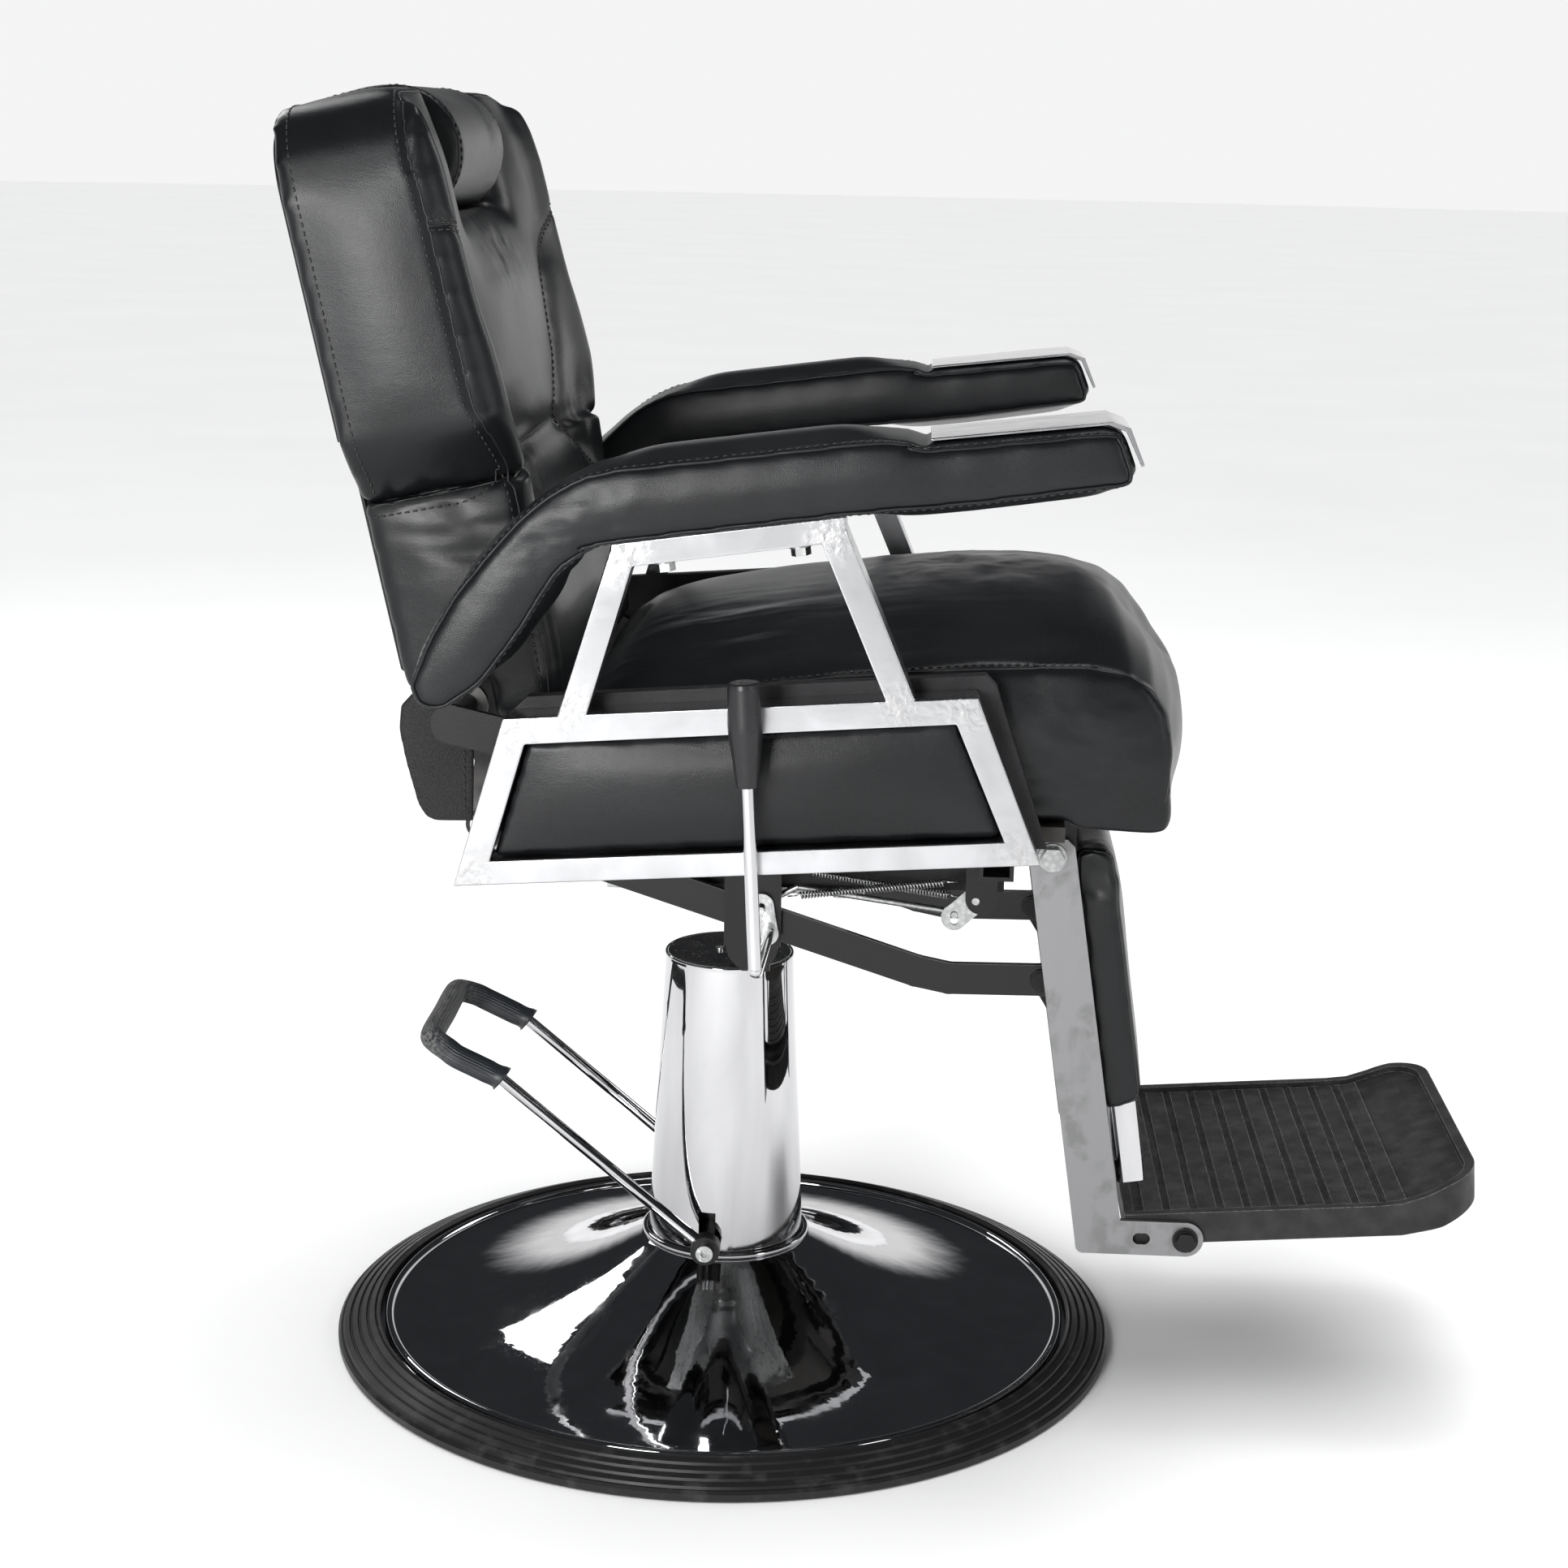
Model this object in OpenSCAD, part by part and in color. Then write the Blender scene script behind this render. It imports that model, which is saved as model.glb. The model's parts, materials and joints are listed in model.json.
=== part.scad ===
// Hydraulic barber chair: pump base, swivelling seat, linked reclining back and leg rest.
// Millimetres. +X points to the footrest, +Y to the sitter's left, +Z up.
// The origin is the centre of the round base, on the floor.

/* [Base] */
// Diameter of the base over its rubber ring
base_d = 650; // [620:5:660]
// Width of the rubber ring seen from above
ring_w = 36; // [32:1:40]
// Height of the rubber ring at its inner edge
ring_h = 22; // [20:1:24]
// Height of the dome where it meets the column
neck_z = 84; // [80:1:88]

/* [Column and pump] */
// Diameter of the column cover at its top
column_top_d = 106; // [100:1:110]
// Diameter of the column cover at its foot
column_foot_d = 130; // [124:1:134]
// Height of the column cover's top edge
column_z = 326; // [320:1:328]
// Diameter of the chromed ram
ram_d = 26; // [24:1:28]
// How far the ram stands forward of the column's axis
ram_x = 13; // [10:1:14]
// Diameter of the pedal's round bar
pedal_bar_d = 10; // [8:1:12]

/* [Seat] */
// Half of the distance between the inner faces of the two side frames
frame_in_y = 274; // [270:1:280]
// Depth of the side frame tube across the chair
tube_depth = 32; // [25:1:36]
// Half width of the seat cushion
seat_half_w = 250; // [240:1:252]

/* [Back] */
// Lean of the backrest from upright, in degrees
back_lean = 12.5; // [10:0.5:13]
// Half width of the back between the armrests
back_low_half_w = 229; // [215:1:232]
// Half width of the back above the armrests
back_top_half_w = 260; // [250:1:264]
// Height of the back cushion along its own lean
back_h = 416; // [400:1:430]

/* [Legrest] */
// Half of the distance between the inner faces of the leg plates
leg_in_y = 150.5; // [148:0.5:154]
// Thickness of the leg plates
leg_t = 5; // [4:0.5:6]
// Upward tilt of the footrest, in degrees
tray_tilt = 4.5; // [3:0.5:6]

/* [Hidden] */
$fn = 64;

// Clearances
run_gap = 0.05;
skin_gap = 0.3;

// Base
base_r = base_d / 2;
ring_in_r = base_r - ring_w;
flange_r = ring_in_r + 11;
flange_z = 10;
sheet = 2.5;
bead_r = 4;
column_top_r = column_top_d / 2;
column_foot_r = column_foot_d / 2;
cover_t = 1.6;
ram_r = ram_d / 2;
ram_low_z = 128;
ram_top_z = 398;
pump_top_z = 316;
pump_r = 30;

// Pedal: pivot, the two bends of the bar and the rounded corner, as [x, z] in side view
pedal_pivot = [-11, 97];
pedal_bend = [-180, 238];
pedal_end = [-222, 258];
pedal_corner = [-238, 266];
pedal_y = 76;
pedal_corner_y = 60;
pedal_r = pedal_bar_d / 2;
axle_r = 6;
hub_r = 12;

// Seat levels
hub_z = 370.5;
plate_z = 404;
plate_t = 5;
riser_y = 70;
riser_w = 24;
tube_z = 470;
board_z = 492;
board_t = 12;

// Four-bar pivots, as [x, z] in side view. back_pivot to link_rear equals leg_pivot
// to link_front, so the linkage is a parallelogram and the back and legs turn alike.
leg_pivot = [254, 458];
link_front = [252, 346];
back_pivot = [-186, 570];
link_rear = back_pivot + link_front - leg_pivot;
pivot_r = 6;
back_pin_r = 8;
link_pin_r = 4;
link_open_gap = 0.5;
link_bar_y = 107;
link_bar_t = 6;
link_bar_h = 25;

// Back: its own frame stands on this point and leans back
back_foot = [-226, 594];
back_waist = 150;
back_depth = 112;
back_low_depth = 104;
pocket = 12.3;
notch_half_w = 108;
notch_s = 318;
post_y = 45;
post_r = 6;
post_n = 58;

// Leg rest: its own frame stands at the foot of the calf pad and leans with the plates
calf_foot = [300, 250];
calf_lean = 8.85;
foot_pivot = [370, 153];
foot_bolt_r = 5;

// Recline lever
lever_pivot = [39, 388];
lever_y = -325;
lever_r = 4.8;
lever_low = [40, 413];
lever_top = [31.5, 566];
cam_pivot = [198, 414];

// ---------- helpers ----------

// Places a side-view shape (x to X, y to Z) as a slab from y0 to y1.
module side_slab(y0, y1) {
    translate([0, y1, 0]) rotate([90, 0, 0]) linear_extrude(y1 - y0) children();
}

// A round bar between two points.
module bar(a, b, r) {
    d = b - a;
    len = norm(d);
    translate(a)
        rotate([0, acos(d[2] / len), atan2(d[1], d[0])])
            cylinder(r = r, h = len);
}

// A round bar along a list of points. Each bend is a ball a little fuller than the bar.
bend_extra = 0.2;
module bent_bar(pts, r) {
    for (i = [0 : len(pts) - 2]) bar(pts[i], pts[i + 1], r);
    for (i = [1 : len(pts) - 2]) translate(pts[i]) sphere(r = r + bend_extra);
}

// A flat strip of width h along a side-view route, round at its bends and ends.
// The rounds are a little fuller than the strip, so that they cut its edges cleanly.
module strip(pts, h) {
    for (i = [0 : len(pts) - 2]) {
        d = pts[i + 1] - pts[i];
        translate(pts[i]) rotate(atan2(d[1], d[0]))
            translate([0, -h / 2]) square([norm(d), h]);
    }
    for (p = pts) translate(p) circle(d = h + 2 * bend_extra);
}

// A pin, bore or head along Y, at a side-view point.
module y_pin(p, y0, y1, r) {
    translate([p[0], y1, p[1]]) rotate([90, 0, 0]) cylinder(r = r, h = y1 - y0);
}

// A hexagon head along Y.
module y_hex(p, y0, y1, r) {
    translate([p[0], y1, p[1]]) rotate([90, 0, 0]) cylinder(r = r, h = y1 - y0, $fn = 6);
}

// Mirrors a right-hand part to the left when side is 1.
module on_side(side) {
    if (side > 0) mirror([0, 1, 0]) children();
    else children();
}

// The back's own frame: x is forward off its rear face, z is up along it.
module back_frame() {
    translate([back_foot[0], 0, back_foot[1]]) rotate([0, -back_lean, 0]) children();
}

// The leg rest's own frame: x is forward off the calf board, z is up along it.
module calf_frame() {
    translate([calf_foot[0], 0, calf_foot[1]]) rotate([0, -calf_lean, 0]) children();
}

// A slab in the YZ plane with the 2-D shape's x along Y, from x0 to x1.
module front_slab(x0, x1) {
    translate([x0, 0, 0]) rotate([90, 0, 90]) linear_extrude(x1 - x0) children();
}

// A rectangle with round corners, centred on x and standing on y = 0.
module round_rect(half_w, h, r) {
    translate([-half_w, r]) square([2 * half_w, h - 2 * r]);
    translate([-half_w + r, 0]) square([2 * half_w - 2 * r, h]);
    for (x = [-1, 1], y = [r, h - r]) translate([x * (half_w - r), y]) circle(r = r);
}

// ---------- base ----------

module base_plate() {
    foot_r = 95;
    color("dimgray") {
        cylinder(r = foot_r, h = 6);
        translate([0, 0, 6]) cylinder(r = ring_in_r - 2, h = 4);
    }
}

// Height of the dome's outer surface at a radius: a trumpet that steepens to the neck.
dome_edge_r = ring_in_r - 9;
dome_neck_r = 67;
dome_low_z = 17;
function dome_z(r) =
    dome_low_z + (neck_z - dome_low_z) * pow((dome_edge_r - r) / (dome_edge_r - dome_neck_r), 2);

module base_dome() {
    steps = 18;
    radii = [for (i = [0 : steps]) dome_edge_r - i * (dome_edge_r - dome_neck_r) / steps];
    top = [for (r = radii) [r, dome_z(r)]];
    under = [for (i = [0 : steps]) [radii[steps - i], dome_z(radii[steps - i]) - sheet]];
    color("silver") rotate_extrude($fn = 128) {
        polygon(concat(top, [[dome_neck_r - 7, neck_z], [dome_neck_r - 7, neck_z - sheet]], under));
        translate([dome_edge_r + bead_r - 1.5, dome_low_z]) circle(r = bead_r, $fn = 24);
        translate([dome_edge_r + bead_r, flange_z])
            square([flange_r - dome_edge_r - bead_r, sheet]);
        translate([dome_edge_r + bead_r - 2, flange_z]) square([2.5, dome_low_z - flange_z]);
    }
}

module base_ring() {
    ridges = 4;
    pitch = (ring_w - 8) / ridges;
    slope = (ring_h - 9) / (ring_w - 4);
    groove = 1.6;
    // Each ridge: outer foot, outer edge, inner edge, inner foot
    crown = [for (i = [0 : ridges - 1], k = [0 : 3])
        let (r = base_r - 4 - i * pitch - [0, 1, pitch - 2, pitch - 1][k])
        [r, 9 + (base_r - r) * slope - ((k == 0 || k == 3) ? groove : 0)]];
    color("black") rotate_extrude($fn = 128) difference() {
        polygon(concat([[ring_in_r, 0], [base_r - 2, 0], [base_r, 2], [base_r, 7], [base_r - 2, 9]],
            crown, [[ring_in_r + 3, ring_h], [ring_in_r + 1, ring_h - 2], [ring_in_r + 1, 12]]));
        translate([ring_in_r - 1, flange_z - run_gap])
            square([flange_r - ring_in_r + 1 + run_gap, sheet + 2 * run_gap]);
    }
}

module neck_collar() {
    collar_r = 2.5;
    color("silver") rotate_extrude()
        translate([column_foot_r + collar_r + 0.1, neck_z + collar_r]) circle(r = collar_r, $fn = 24);
}

module pump_cover() {
    slot_w = 14;
    slot_top = 122;
    color("silver") difference() {
        rotate_extrude() polygon([
            [column_foot_r, neck_z + run_gap], [column_top_r, column_z],
            [column_top_r - cover_t, column_z], [column_foot_r - cover_t, neck_z + run_gap]]);
        for (s = [-1, 1])
            translate([pedal_pivot[0] - slot_w / 2, s * column_foot_r - 16, neck_z - 1])
                cube([slot_w, 32, slot_top - neck_z + 1]);
    }
}

module cap_rim() {
    color("silver") rotate_extrude() {
        translate([column_top_r - 3, column_z + run_gap]) square([3.6, 2]);
        translate([column_top_r - 1.2, column_z + 2 + run_gap]) circle(r = 1.8, $fn = 24);
    }
}

module pump_cap() {
    color("black") difference() {
        union() {
            translate([0, 0, column_z - 4]) cylinder(r = column_top_r - cover_t - 0.4, h = 4);
            translate([0, 0, column_z]) cylinder(r = column_top_r - 3.2, h = 3.5);
        }
        translate([ram_x, 0, column_z - 5]) cylinder(r = ram_r + 2, h = 10);
    }
}

module cap_screw() {
    color("silver") translate([-8, 0, column_z + 3.5]) difference() {
        cylinder(r = 3.6, h = 2);
        translate([-2.4, -0.4, 1.2]) cube([4.8, 0.8, 1]);
        translate([-0.4, -2.4, 1.2]) cube([0.8, 4.8, 1]);
    }
}

pump_bolt_pcd = 94;
pump_bolt_r = 4;
module pump_bolt_places() {
    for (a = [45 : 90 : 315]) rotate(a) translate([pump_bolt_pcd / 2, 0, 10]) children();
}

module pump_body() {
    block = [70, 56, 54];
    color("dimgray") difference() {
        union() {
            translate([0, 0, 10]) cylinder(r = 58, h = 8);
            translate([ram_x, 0, 18]) cylinder(r = pump_r, h = pump_top_z - 18);
            translate([-30, -block[1] / 2, 70]) cube(block);
        }
        translate([ram_x, 0, ram_low_z - 2]) cylinder(r = ram_r + run_gap, h = 200);
        y_pin(pedal_pivot, -40, 40, axle_r + run_gap);
        pump_bolt_places() translate([0, 0, -1]) cylinder(r = pump_bolt_r + run_gap, h = 10);
    }
}

module pump_bolts() {
    color("silver") pump_bolt_places() {
        cylinder(r = pump_bolt_r, h = 9);
        translate([0, 0, 8]) cylinder(r = 7, h = 5.5, $fn = 6);
    }
}

// ---------- lifting ram ----------

module ram() {
    color("silver") translate([ram_x, 0, ram_low_z]) cylinder(r = ram_r, h = ram_top_z - ram_low_z);
}

module thrust_collar() {
    color("gray") translate([ram_x, 0, hub_z - 5.3]) difference() {
        cylinder(r = 20, h = 5);
        translate([0, 0, -1]) cylinder(r = ram_r + run_gap, h = 7);
    }
}

// ---------- pump pedal ----------

// The bar's route on one side, and the whole loop.
function pedal_side(s) = [
    [pedal_pivot[0], s * pedal_y, pedal_pivot[1]],
    [pedal_bend[0], s * pedal_y, pedal_bend[1]],
    [pedal_end[0], s * pedal_y, pedal_end[1]],
    [pedal_corner[0], s * pedal_corner_y, pedal_corner[1]]];

module pedal_axle() {
    color("silver") y_pin(pedal_pivot, -pedal_y - 8, pedal_y + 8, axle_r);
}

module pedal_hubs() {
    color("black") for (s = [0, 1]) on_side(s) difference() {
        y_pin(pedal_pivot, -pedal_y - 8, -pedal_y + 5, hub_r);
        y_pin(pedal_pivot, -pedal_y - 9, -pedal_y + 6, axle_r + run_gap);
    }
}

module pedal_bar() {
    near = pedal_side(-1);
    far = pedal_side(1);
    color("silver") difference() {
        bent_bar([near[0], near[1], near[2], near[3], far[3], far[2], far[1], far[0]], pedal_r);
        for (s = [-1, 1]) y_pin(pedal_pivot, s * pedal_y - 9, s * pedal_y + 9, hub_r + run_gap);
    }
}

module pedal_grip() {
    near = pedal_side(-1);
    far = pedal_side(1);
    grip_r = 9.5;
    mouth_r = 11.5;
    pts = [near[1], near[2], near[3], far[3], far[2], far[1]];
    color("black") difference() {
        union() {
            bent_bar(pts, grip_r);
            for (side = [near, far])
                bar(side[1], side[1] + 0.12 * (side[2] - side[1]), mouth_r);
        }
        bent_bar(pts, pedal_r + run_gap);
        for (side = [near, far]) translate(side[1]) sphere(r = pedal_r + bend_extra + run_gap);
    }
}

module pedal_bolts() {
    color("silver") for (s = [-1, 1]) {
        inner = pedal_y + 8;
        y0 = s > 0 ? inner : -inner - 6;
        difference() {
            y_pin(pedal_pivot, y0, y0 + 6, 7);
            y_hex(pedal_pivot, s > 0 ? y0 + 3 : y0 - 1, s > 0 ? y0 + 7 : y0 + 3, 3.4);
        }
    }
}

// ---------- seat structure ----------

module swivel_hub() {
    color("black") translate([ram_x, 0, hub_z]) difference() {
        cylinder(r = 28, h = plate_z - hub_z);
        translate([0, 0, -1]) cylinder(r = ram_r + run_gap, h = ram_top_z - hub_z + 2);
    }
}

plate_x = [-92, 112];
plate_half_w = 88;
mount_bolt_x = [-70, 92];
mount_bolt_r = 4;

module mounting_plate() {
    color("gray") difference() {
        translate([plate_x[0], -plate_half_w, plate_z])
            cube([plate_x[1] - plate_x[0], 2 * plate_half_w, plate_t]);
        for (x = mount_bolt_x, y = [-riser_y, riser_y])
            translate([x, y, plate_z - 1]) cylinder(r = mount_bolt_r + run_gap, h = plate_t + 2);
    }
}

module mounting_bolts() {
    color("silver") for (x = mount_bolt_x, y = [-riser_y, riser_y]) translate([x, y, plate_z]) {
        cylinder(r = mount_bolt_r, h = plate_t + 5);
        translate([0, 0, -6]) cylinder(r = 7, h = 6, $fn = 6);
    }
}

cross_x = [[20, 45], [196, 221]];
riser_x = [-92, 221];
lug_y = [leg_in_y - 6.5, leg_in_y - 1.5];

// Two box risers on the mounting plate, two cross tubes over them and the leg lugs.
module seat_subframe() {
    wall = 3;
    riser_z = plate_z + plate_t;
    color("black") {
        difference() {
            for (s = [-1, 1]) translate([riser_x[0], s * riser_y - riser_w / 2, riser_z])
                cube([riser_x[1] - riser_x[0], riser_w, tube_z - riser_z]);
            for (s = [-1, 1]) translate([riser_x[0] - 1, s * riser_y - riser_w / 2 + wall, riser_z + wall])
                cube([riser_x[1] - riser_x[0] + 2, riser_w - 2 * wall, tube_z - riser_z - 2 * wall]);
            for (x = mount_bolt_x, y = [-riser_y, riser_y]) translate([x, y, riser_z - 1])
                cylinder(r = mount_bolt_r + run_gap, h = wall + 2);
        }
        for (c = cross_x) difference() {
            translate([c[0], -frame_in_y + run_gap, tube_z])
                cube([c[1] - c[0], 2 * frame_in_y - 2 * run_gap, board_z - tube_z]);
            translate([c[0] + wall, -frame_in_y - 1, tube_z + wall])
                cube([c[1] - c[0] - 2 * wall, 2 * frame_in_y + 2, board_z - tube_z - 2 * wall]);
        }
        for (s = [0, 1]) on_side(s) difference() {
            side_slab(-lug_y[1], -lug_y[0]) {
                translate([221, tube_z]) square([51, board_z - tube_z]);
                translate([leg_pivot[0] - 18, leg_pivot[1]]) square([36, tube_z - leg_pivot[1] + 1]);
                translate(leg_pivot) circle(r = 18);
            }
            y_pin(leg_pivot, -lug_y[1] - 1, -lug_y[0] + 1, pivot_r + run_gap);
        }
    }
}

board_x = [-92, 258];
module seat_board() {
    color("saddlebrown") translate([board_x[0], -seat_half_w + 6, board_z + run_gap])
        cube([board_x[1] - board_x[0], 2 * seat_half_w - 12, board_t - run_gap]);
}

module seat_cushion() {
    under = board_z + board_t + skin_gap;
    nose = [322, 512];
    nose_r = 15;
    color([0.08, 0.08, 0.09]) side_slab(-seat_half_w, seat_half_w) {
        polygon([[-98, under], [258 + skin_gap, under], [266, 499], nose + [0, -nose_r],
            nose + [nose_r, 0], [340, 575], [336, 602], [322, 622], [300, 634], [270, 639],
            [190, 637], [90, 628], [0, 614], [-70, 600], [-98, 588]]);
        translate(nose) circle(r = nose_r);
    }
}

// ---------- side frames, boards and panels ----------

// Corners of the lower frame: rear low, front low, front top, rear top
frame_out = [[-177, 462], [238, 491], [190, 610], [-141, 585]];
frame_hole = [[-151, 481.5], [212, 507.5], [176, 590.5], [-126, 567]];
// Line of the arm rail's lower edge
rail_slope = 0.145;
function rail_z(x) = 695 + (x + 51) * rail_slope;
rail_h = 17;

module side_frame(side) {
    color("gainsboro") on_side(side) side_slab(-frame_in_y - tube_depth, -frame_in_y) {
        difference() {
            polygon(frame_out);
            polygon(frame_hole);
        }
        // Rear upright, front upright and arm rail
        polygon([[-104, 584], [-84, 584], [-49, 702], [-65.5, 709]]);
        polygon([[127.5, 603], [148, 603], [93.5, 731], [75.5, 724]]);
        polygon([[-66, rail_z(-66)], [96, rail_z(96)], [96, rail_z(96) + rail_h],
            [-66, rail_z(-66) + rail_h]]);
    }
}

module side_frame_R() { side_frame(0); }
module side_frame_L() { side_frame(1); }

board_gap = 0.3;
side_board_t = 11.7;
module side_board(side) {
    y0 = -frame_in_y + board_gap;
    color("black") on_side(side) side_slab(y0, y0 + side_board_t)
        polygon([[-170, 494.5], [-146, 578], [-128, 595], [196, 620], [204, 612], [244, 494.5]]);
}

module side_board_R() { side_board(0); }
module side_board_L() { side_board(1); }

panel_out = 8;
module side_panel(side) {
    c = skin_gap;
    color([0.12, 0.13, 0.14]) on_side(side)
        side_slab(-frame_in_y - tube_depth + panel_out, -frame_in_y) polygon([
            frame_hole[0] + [2 * c, c], frame_hole[1] + [-2 * c, c],
            frame_hole[2] + [-c, -c], frame_hole[3] + [c, -c]]);
}

module side_panel_R() { side_panel(0); }
module side_panel_L() { side_panel(1); }

// ---------- arm pads ----------

pad_in_y = 240;
pad_out_y = 340;

module arm_pad(side) {
    seat_line = rail_h + skin_gap;
    tail = [-184, 612];
    tail_r = 20;
    color([0.08, 0.08, 0.09]) on_side(side) side_slab(-pad_out_y, -pad_in_y) {
        polygon([tail + [12, -16], [-149, 613], [-121, 651], [-97, 690], [-80, 703],
            [-66, rail_z(-66) + seat_line], [100, rail_z(100) + seat_line], [184, 744],
            [262, 756], [284, 758], [293, 768], [281, 798], [270, 802], [150, 788], [138, 792],
            [118, 793], [73, 787], [0, 777], [-60, 769], [-84, 763], [-108, 750], [-131, 729],
            [-152, 705], [-174, 677], [-192, 645], tail + [-tail_r, 4]]);
        translate(tail) circle(r = tail_r + 0.2);
    }
}

module arm_pad_R() { arm_pad(0); }
module arm_pad_L() { arm_pad(1); }

module arm_trim(side) {
    lift = skin_gap;
    color("silver") on_side(side) side_slab(-pad_out_y + 11, -pad_in_y - 11) polygon([
        [152, 788.4 + lift], [270, 802 + lift], [282, 798 + lift], [293.3, 775],
        [295.3, 776], [285, 800.5], [272, 805], [152, 790.5 + lift]]);
}

module arm_trim_R() { arm_trim(0); }
module arm_trim_L() { arm_trim(1); }

arm_bolt_x = [-30, 64];
module arm_bolts() {
    mid_y = frame_in_y + tube_depth / 2;
    color("silver") for (s = [-1, 1], x = arm_bolt_x)
        translate([x, s * mid_y, rail_z(x)]) rotate([0, -atan(rail_slope), 0]) {
            translate([0, 0, -2]) cylinder(r = 8.5, h = 1.6);
            translate([0, 0, -8]) cylinder(r = 7, h = 6, $fn = 6);
        }
}

// ---------- back hinge, lever and lock ----------

hinge_y = [frame_in_y - side_board_t - 2 * board_gap - 6, frame_in_y - side_board_t - 2 * board_gap];

// Plates on the inside of the side boards, each with its fixed pin.
module back_hinge_brackets() {
    color("black") for (s = [0, 1]) on_side(s) {
        side_slab(-hinge_y[1], -hinge_y[0]) strip([back_pivot, [-150, 562], [-118, 545]], 28);
        y_pin(back_pivot, -hinge_y[0] - 3, -186, back_pin_r);
    }
}

bracket_y = [-130, -125];
module lever_bracket() {
    color("black") difference() {
        side_slab(bracket_y[0], bracket_y[1]) {
            translate([4, 372]) square([44, tube_z - 372]);
            translate([18, 352]) square([22, 21]);
            translate([26, 372]) circle(r = 20);
        }
        y_pin(lever_pivot, bracket_y[0] - 1, bracket_y[1] + 1, lever_r + run_gap);
        side_slab(bracket_y[0] - 1, bracket_y[1] + 1)
            strip([lever_hole + [-8, 0], lever_hole + [2, 0]], 9);
    }
}

module cam_bracket() {
    color("black") difference() {
        side_slab(-131, -126) {
            translate([190, 416]) square([24, tube_z - 416]);
            translate([cam_pivot[0] + 4, cam_pivot[1] + 2]) circle(r = 12);
        }
        y_pin(cam_pivot, -132, -125, 3 + run_gap);
    }
}

// Plain sleeves of the two return springs, hook to hook.
module return_springs() {
    color("silver") {
        bar([52, -121, 410], [184, -121, 428], 3.3);
        bar([60, -93, 424], [188, -93, 406], 3.3);
    }
}

module leg_pivot_bolts() {
    out = leg_in_y + leg_t;
    color("silver") for (s = [0, 1]) on_side(s) {
        y_pin(leg_pivot, -out - 2, -lug_y[0] + 8, pivot_r);
        y_pin(leg_pivot, -out - 2.6, -out - 0.6, 11);
        y_hex(leg_pivot, -out - 10, -out - 2.6, 9.5);
        y_hex(leg_pivot, -lug_y[0] + 0.3, -lug_y[0] + 7, 9.5);
    }
}

module lever_rod() {
    color("silver") bent_bar([[lever_top[0], lever_y, lever_top[1]],
        [lever_low[0], lever_y, lever_low[1]], [lever_low[0], lever_y + 14, lever_low[1] - 5],
        [lever_pivot[0], -150, lever_pivot[1]], [lever_pivot[0], bracket_y[1], lever_pivot[1]]], lever_r);
}

lever_hole = [33, 403];
module lever_plate() {
    color("lightgray") difference() {
        side_slab(-134.5, -131.5) strip([lever_pivot + [-2, -4], lever_hole + [0, 3]], 19);
        y_pin(lever_pivot, -136, -130, lever_r + run_gap);
        // Slot for the release rod, long enough for the hole's arc
        side_slab(-136, -130) strip([lever_hole, lever_hole + [0, 2.4]], 2 * rod_r + 0.4);
    }
}

module lever_grip() {
    lean = atan2(lever_low[0] - lever_top[0], lever_top[1] - lever_low[1]);
    color("black") translate([lever_top[0], lever_y, lever_top[1]]) rotate([0, -lean, 0])
        difference() {
            rotate_extrude() polygon([[0, -20], [7.8, -20], [8.2, -18], [12.2, 20], [12.3, 24],
                [11.4, 50], [10.9, 53], [9.5, 54], [0, 54]]);
            translate([0, 0, -21]) cylinder(r = lever_r + run_gap, h = 22);
        }
}

// Bent rod from the lever plate to the lock's cam.
rod_r = 2.6;
rod_end = [182, 401];
module release_rod() {
    y = -115;
    color("silver") bent_bar([[lever_hole[0], -137, lever_hole[1]], [lever_hole[0], y, lever_hole[1]],
        [60, y, 417], [rod_end[0], y, rod_end[1]], [rod_end[0], -125, rod_end[1]]], rod_r);
}

module lock_cam() {
    color("lightgray") difference() {
        union() {
            side_slab(-124, -121) strip([cam_pivot, rod_end - [0, 2]], 20);
            y_pin(cam_pivot, -130, -120, 3);
        }
        side_slab(-126, -120) strip([rod_end, rod_end - [0, 5]], 2 * rod_r + 0.4);
    }
}

// ---------- back ----------

module back_outline(grow) {
    corner = 62;
    difference() {
        union() {
            translate([-back_low_half_w - grow, -8])
                square([2 * back_low_half_w + 2 * grow, back_waist + 60]);
            translate([0, back_waist - grow])
                round_rect(back_top_half_w + grow, back_h - back_waist + 2 * grow, corner);
            translate([-back_top_half_w - grow, back_waist + 20 - grow])
                square([2 * back_top_half_w + 2 * grow, 60]);
        }
        translate([-notch_half_w + grow, notch_s + grow]) square([2 * notch_half_w - 2 * grow, 200]);
    }
}

module back_board() {
    inset = 14;
    color("saddlebrown") back_frame() front_slab(0, pocket - skin_gap) {
        back_outline(-inset);
        translate([-190, -88]) square([380, 100]);
    }
}

// Side-view point in the back's own frame
function in_back(p) = let (d = p - back_foot)
    [d[0] * cos(back_lean) + d[1] * sin(back_lean), d[1] * cos(back_lean) - d[0] * sin(back_lean)];

module back_arms() {
    p = in_back(back_pivot);
    q = in_back(link_rear);
    face = pocket - skin_gap + run_gap;
    color("dimgray") back_frame() {
        for (s = [0, 1]) on_side(s) difference() {
            side_slab(-190, -184) {
                translate([face, p[1] - 24]) square([p[0] - face, 44]);
                translate(p) circle(r = 16);
            }
            y_pin(p, -191, -183, back_pin_r + run_gap);
        }
        for (y = [-link_bar_y + 3.3, link_bar_y + 3.3]) difference() {
            side_slab(y, y + 6) {
                polygon([[face, -18], [face + 26, -18], [face + 26, -86], q + [12, -2],
                    q + [-12, 4], [face, -92]]);
                translate(q) circle(r = 13);
            }
            y_pin(q, y - 1, y + 7, link_pin_r + run_gap);
        }
    }
}

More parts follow.
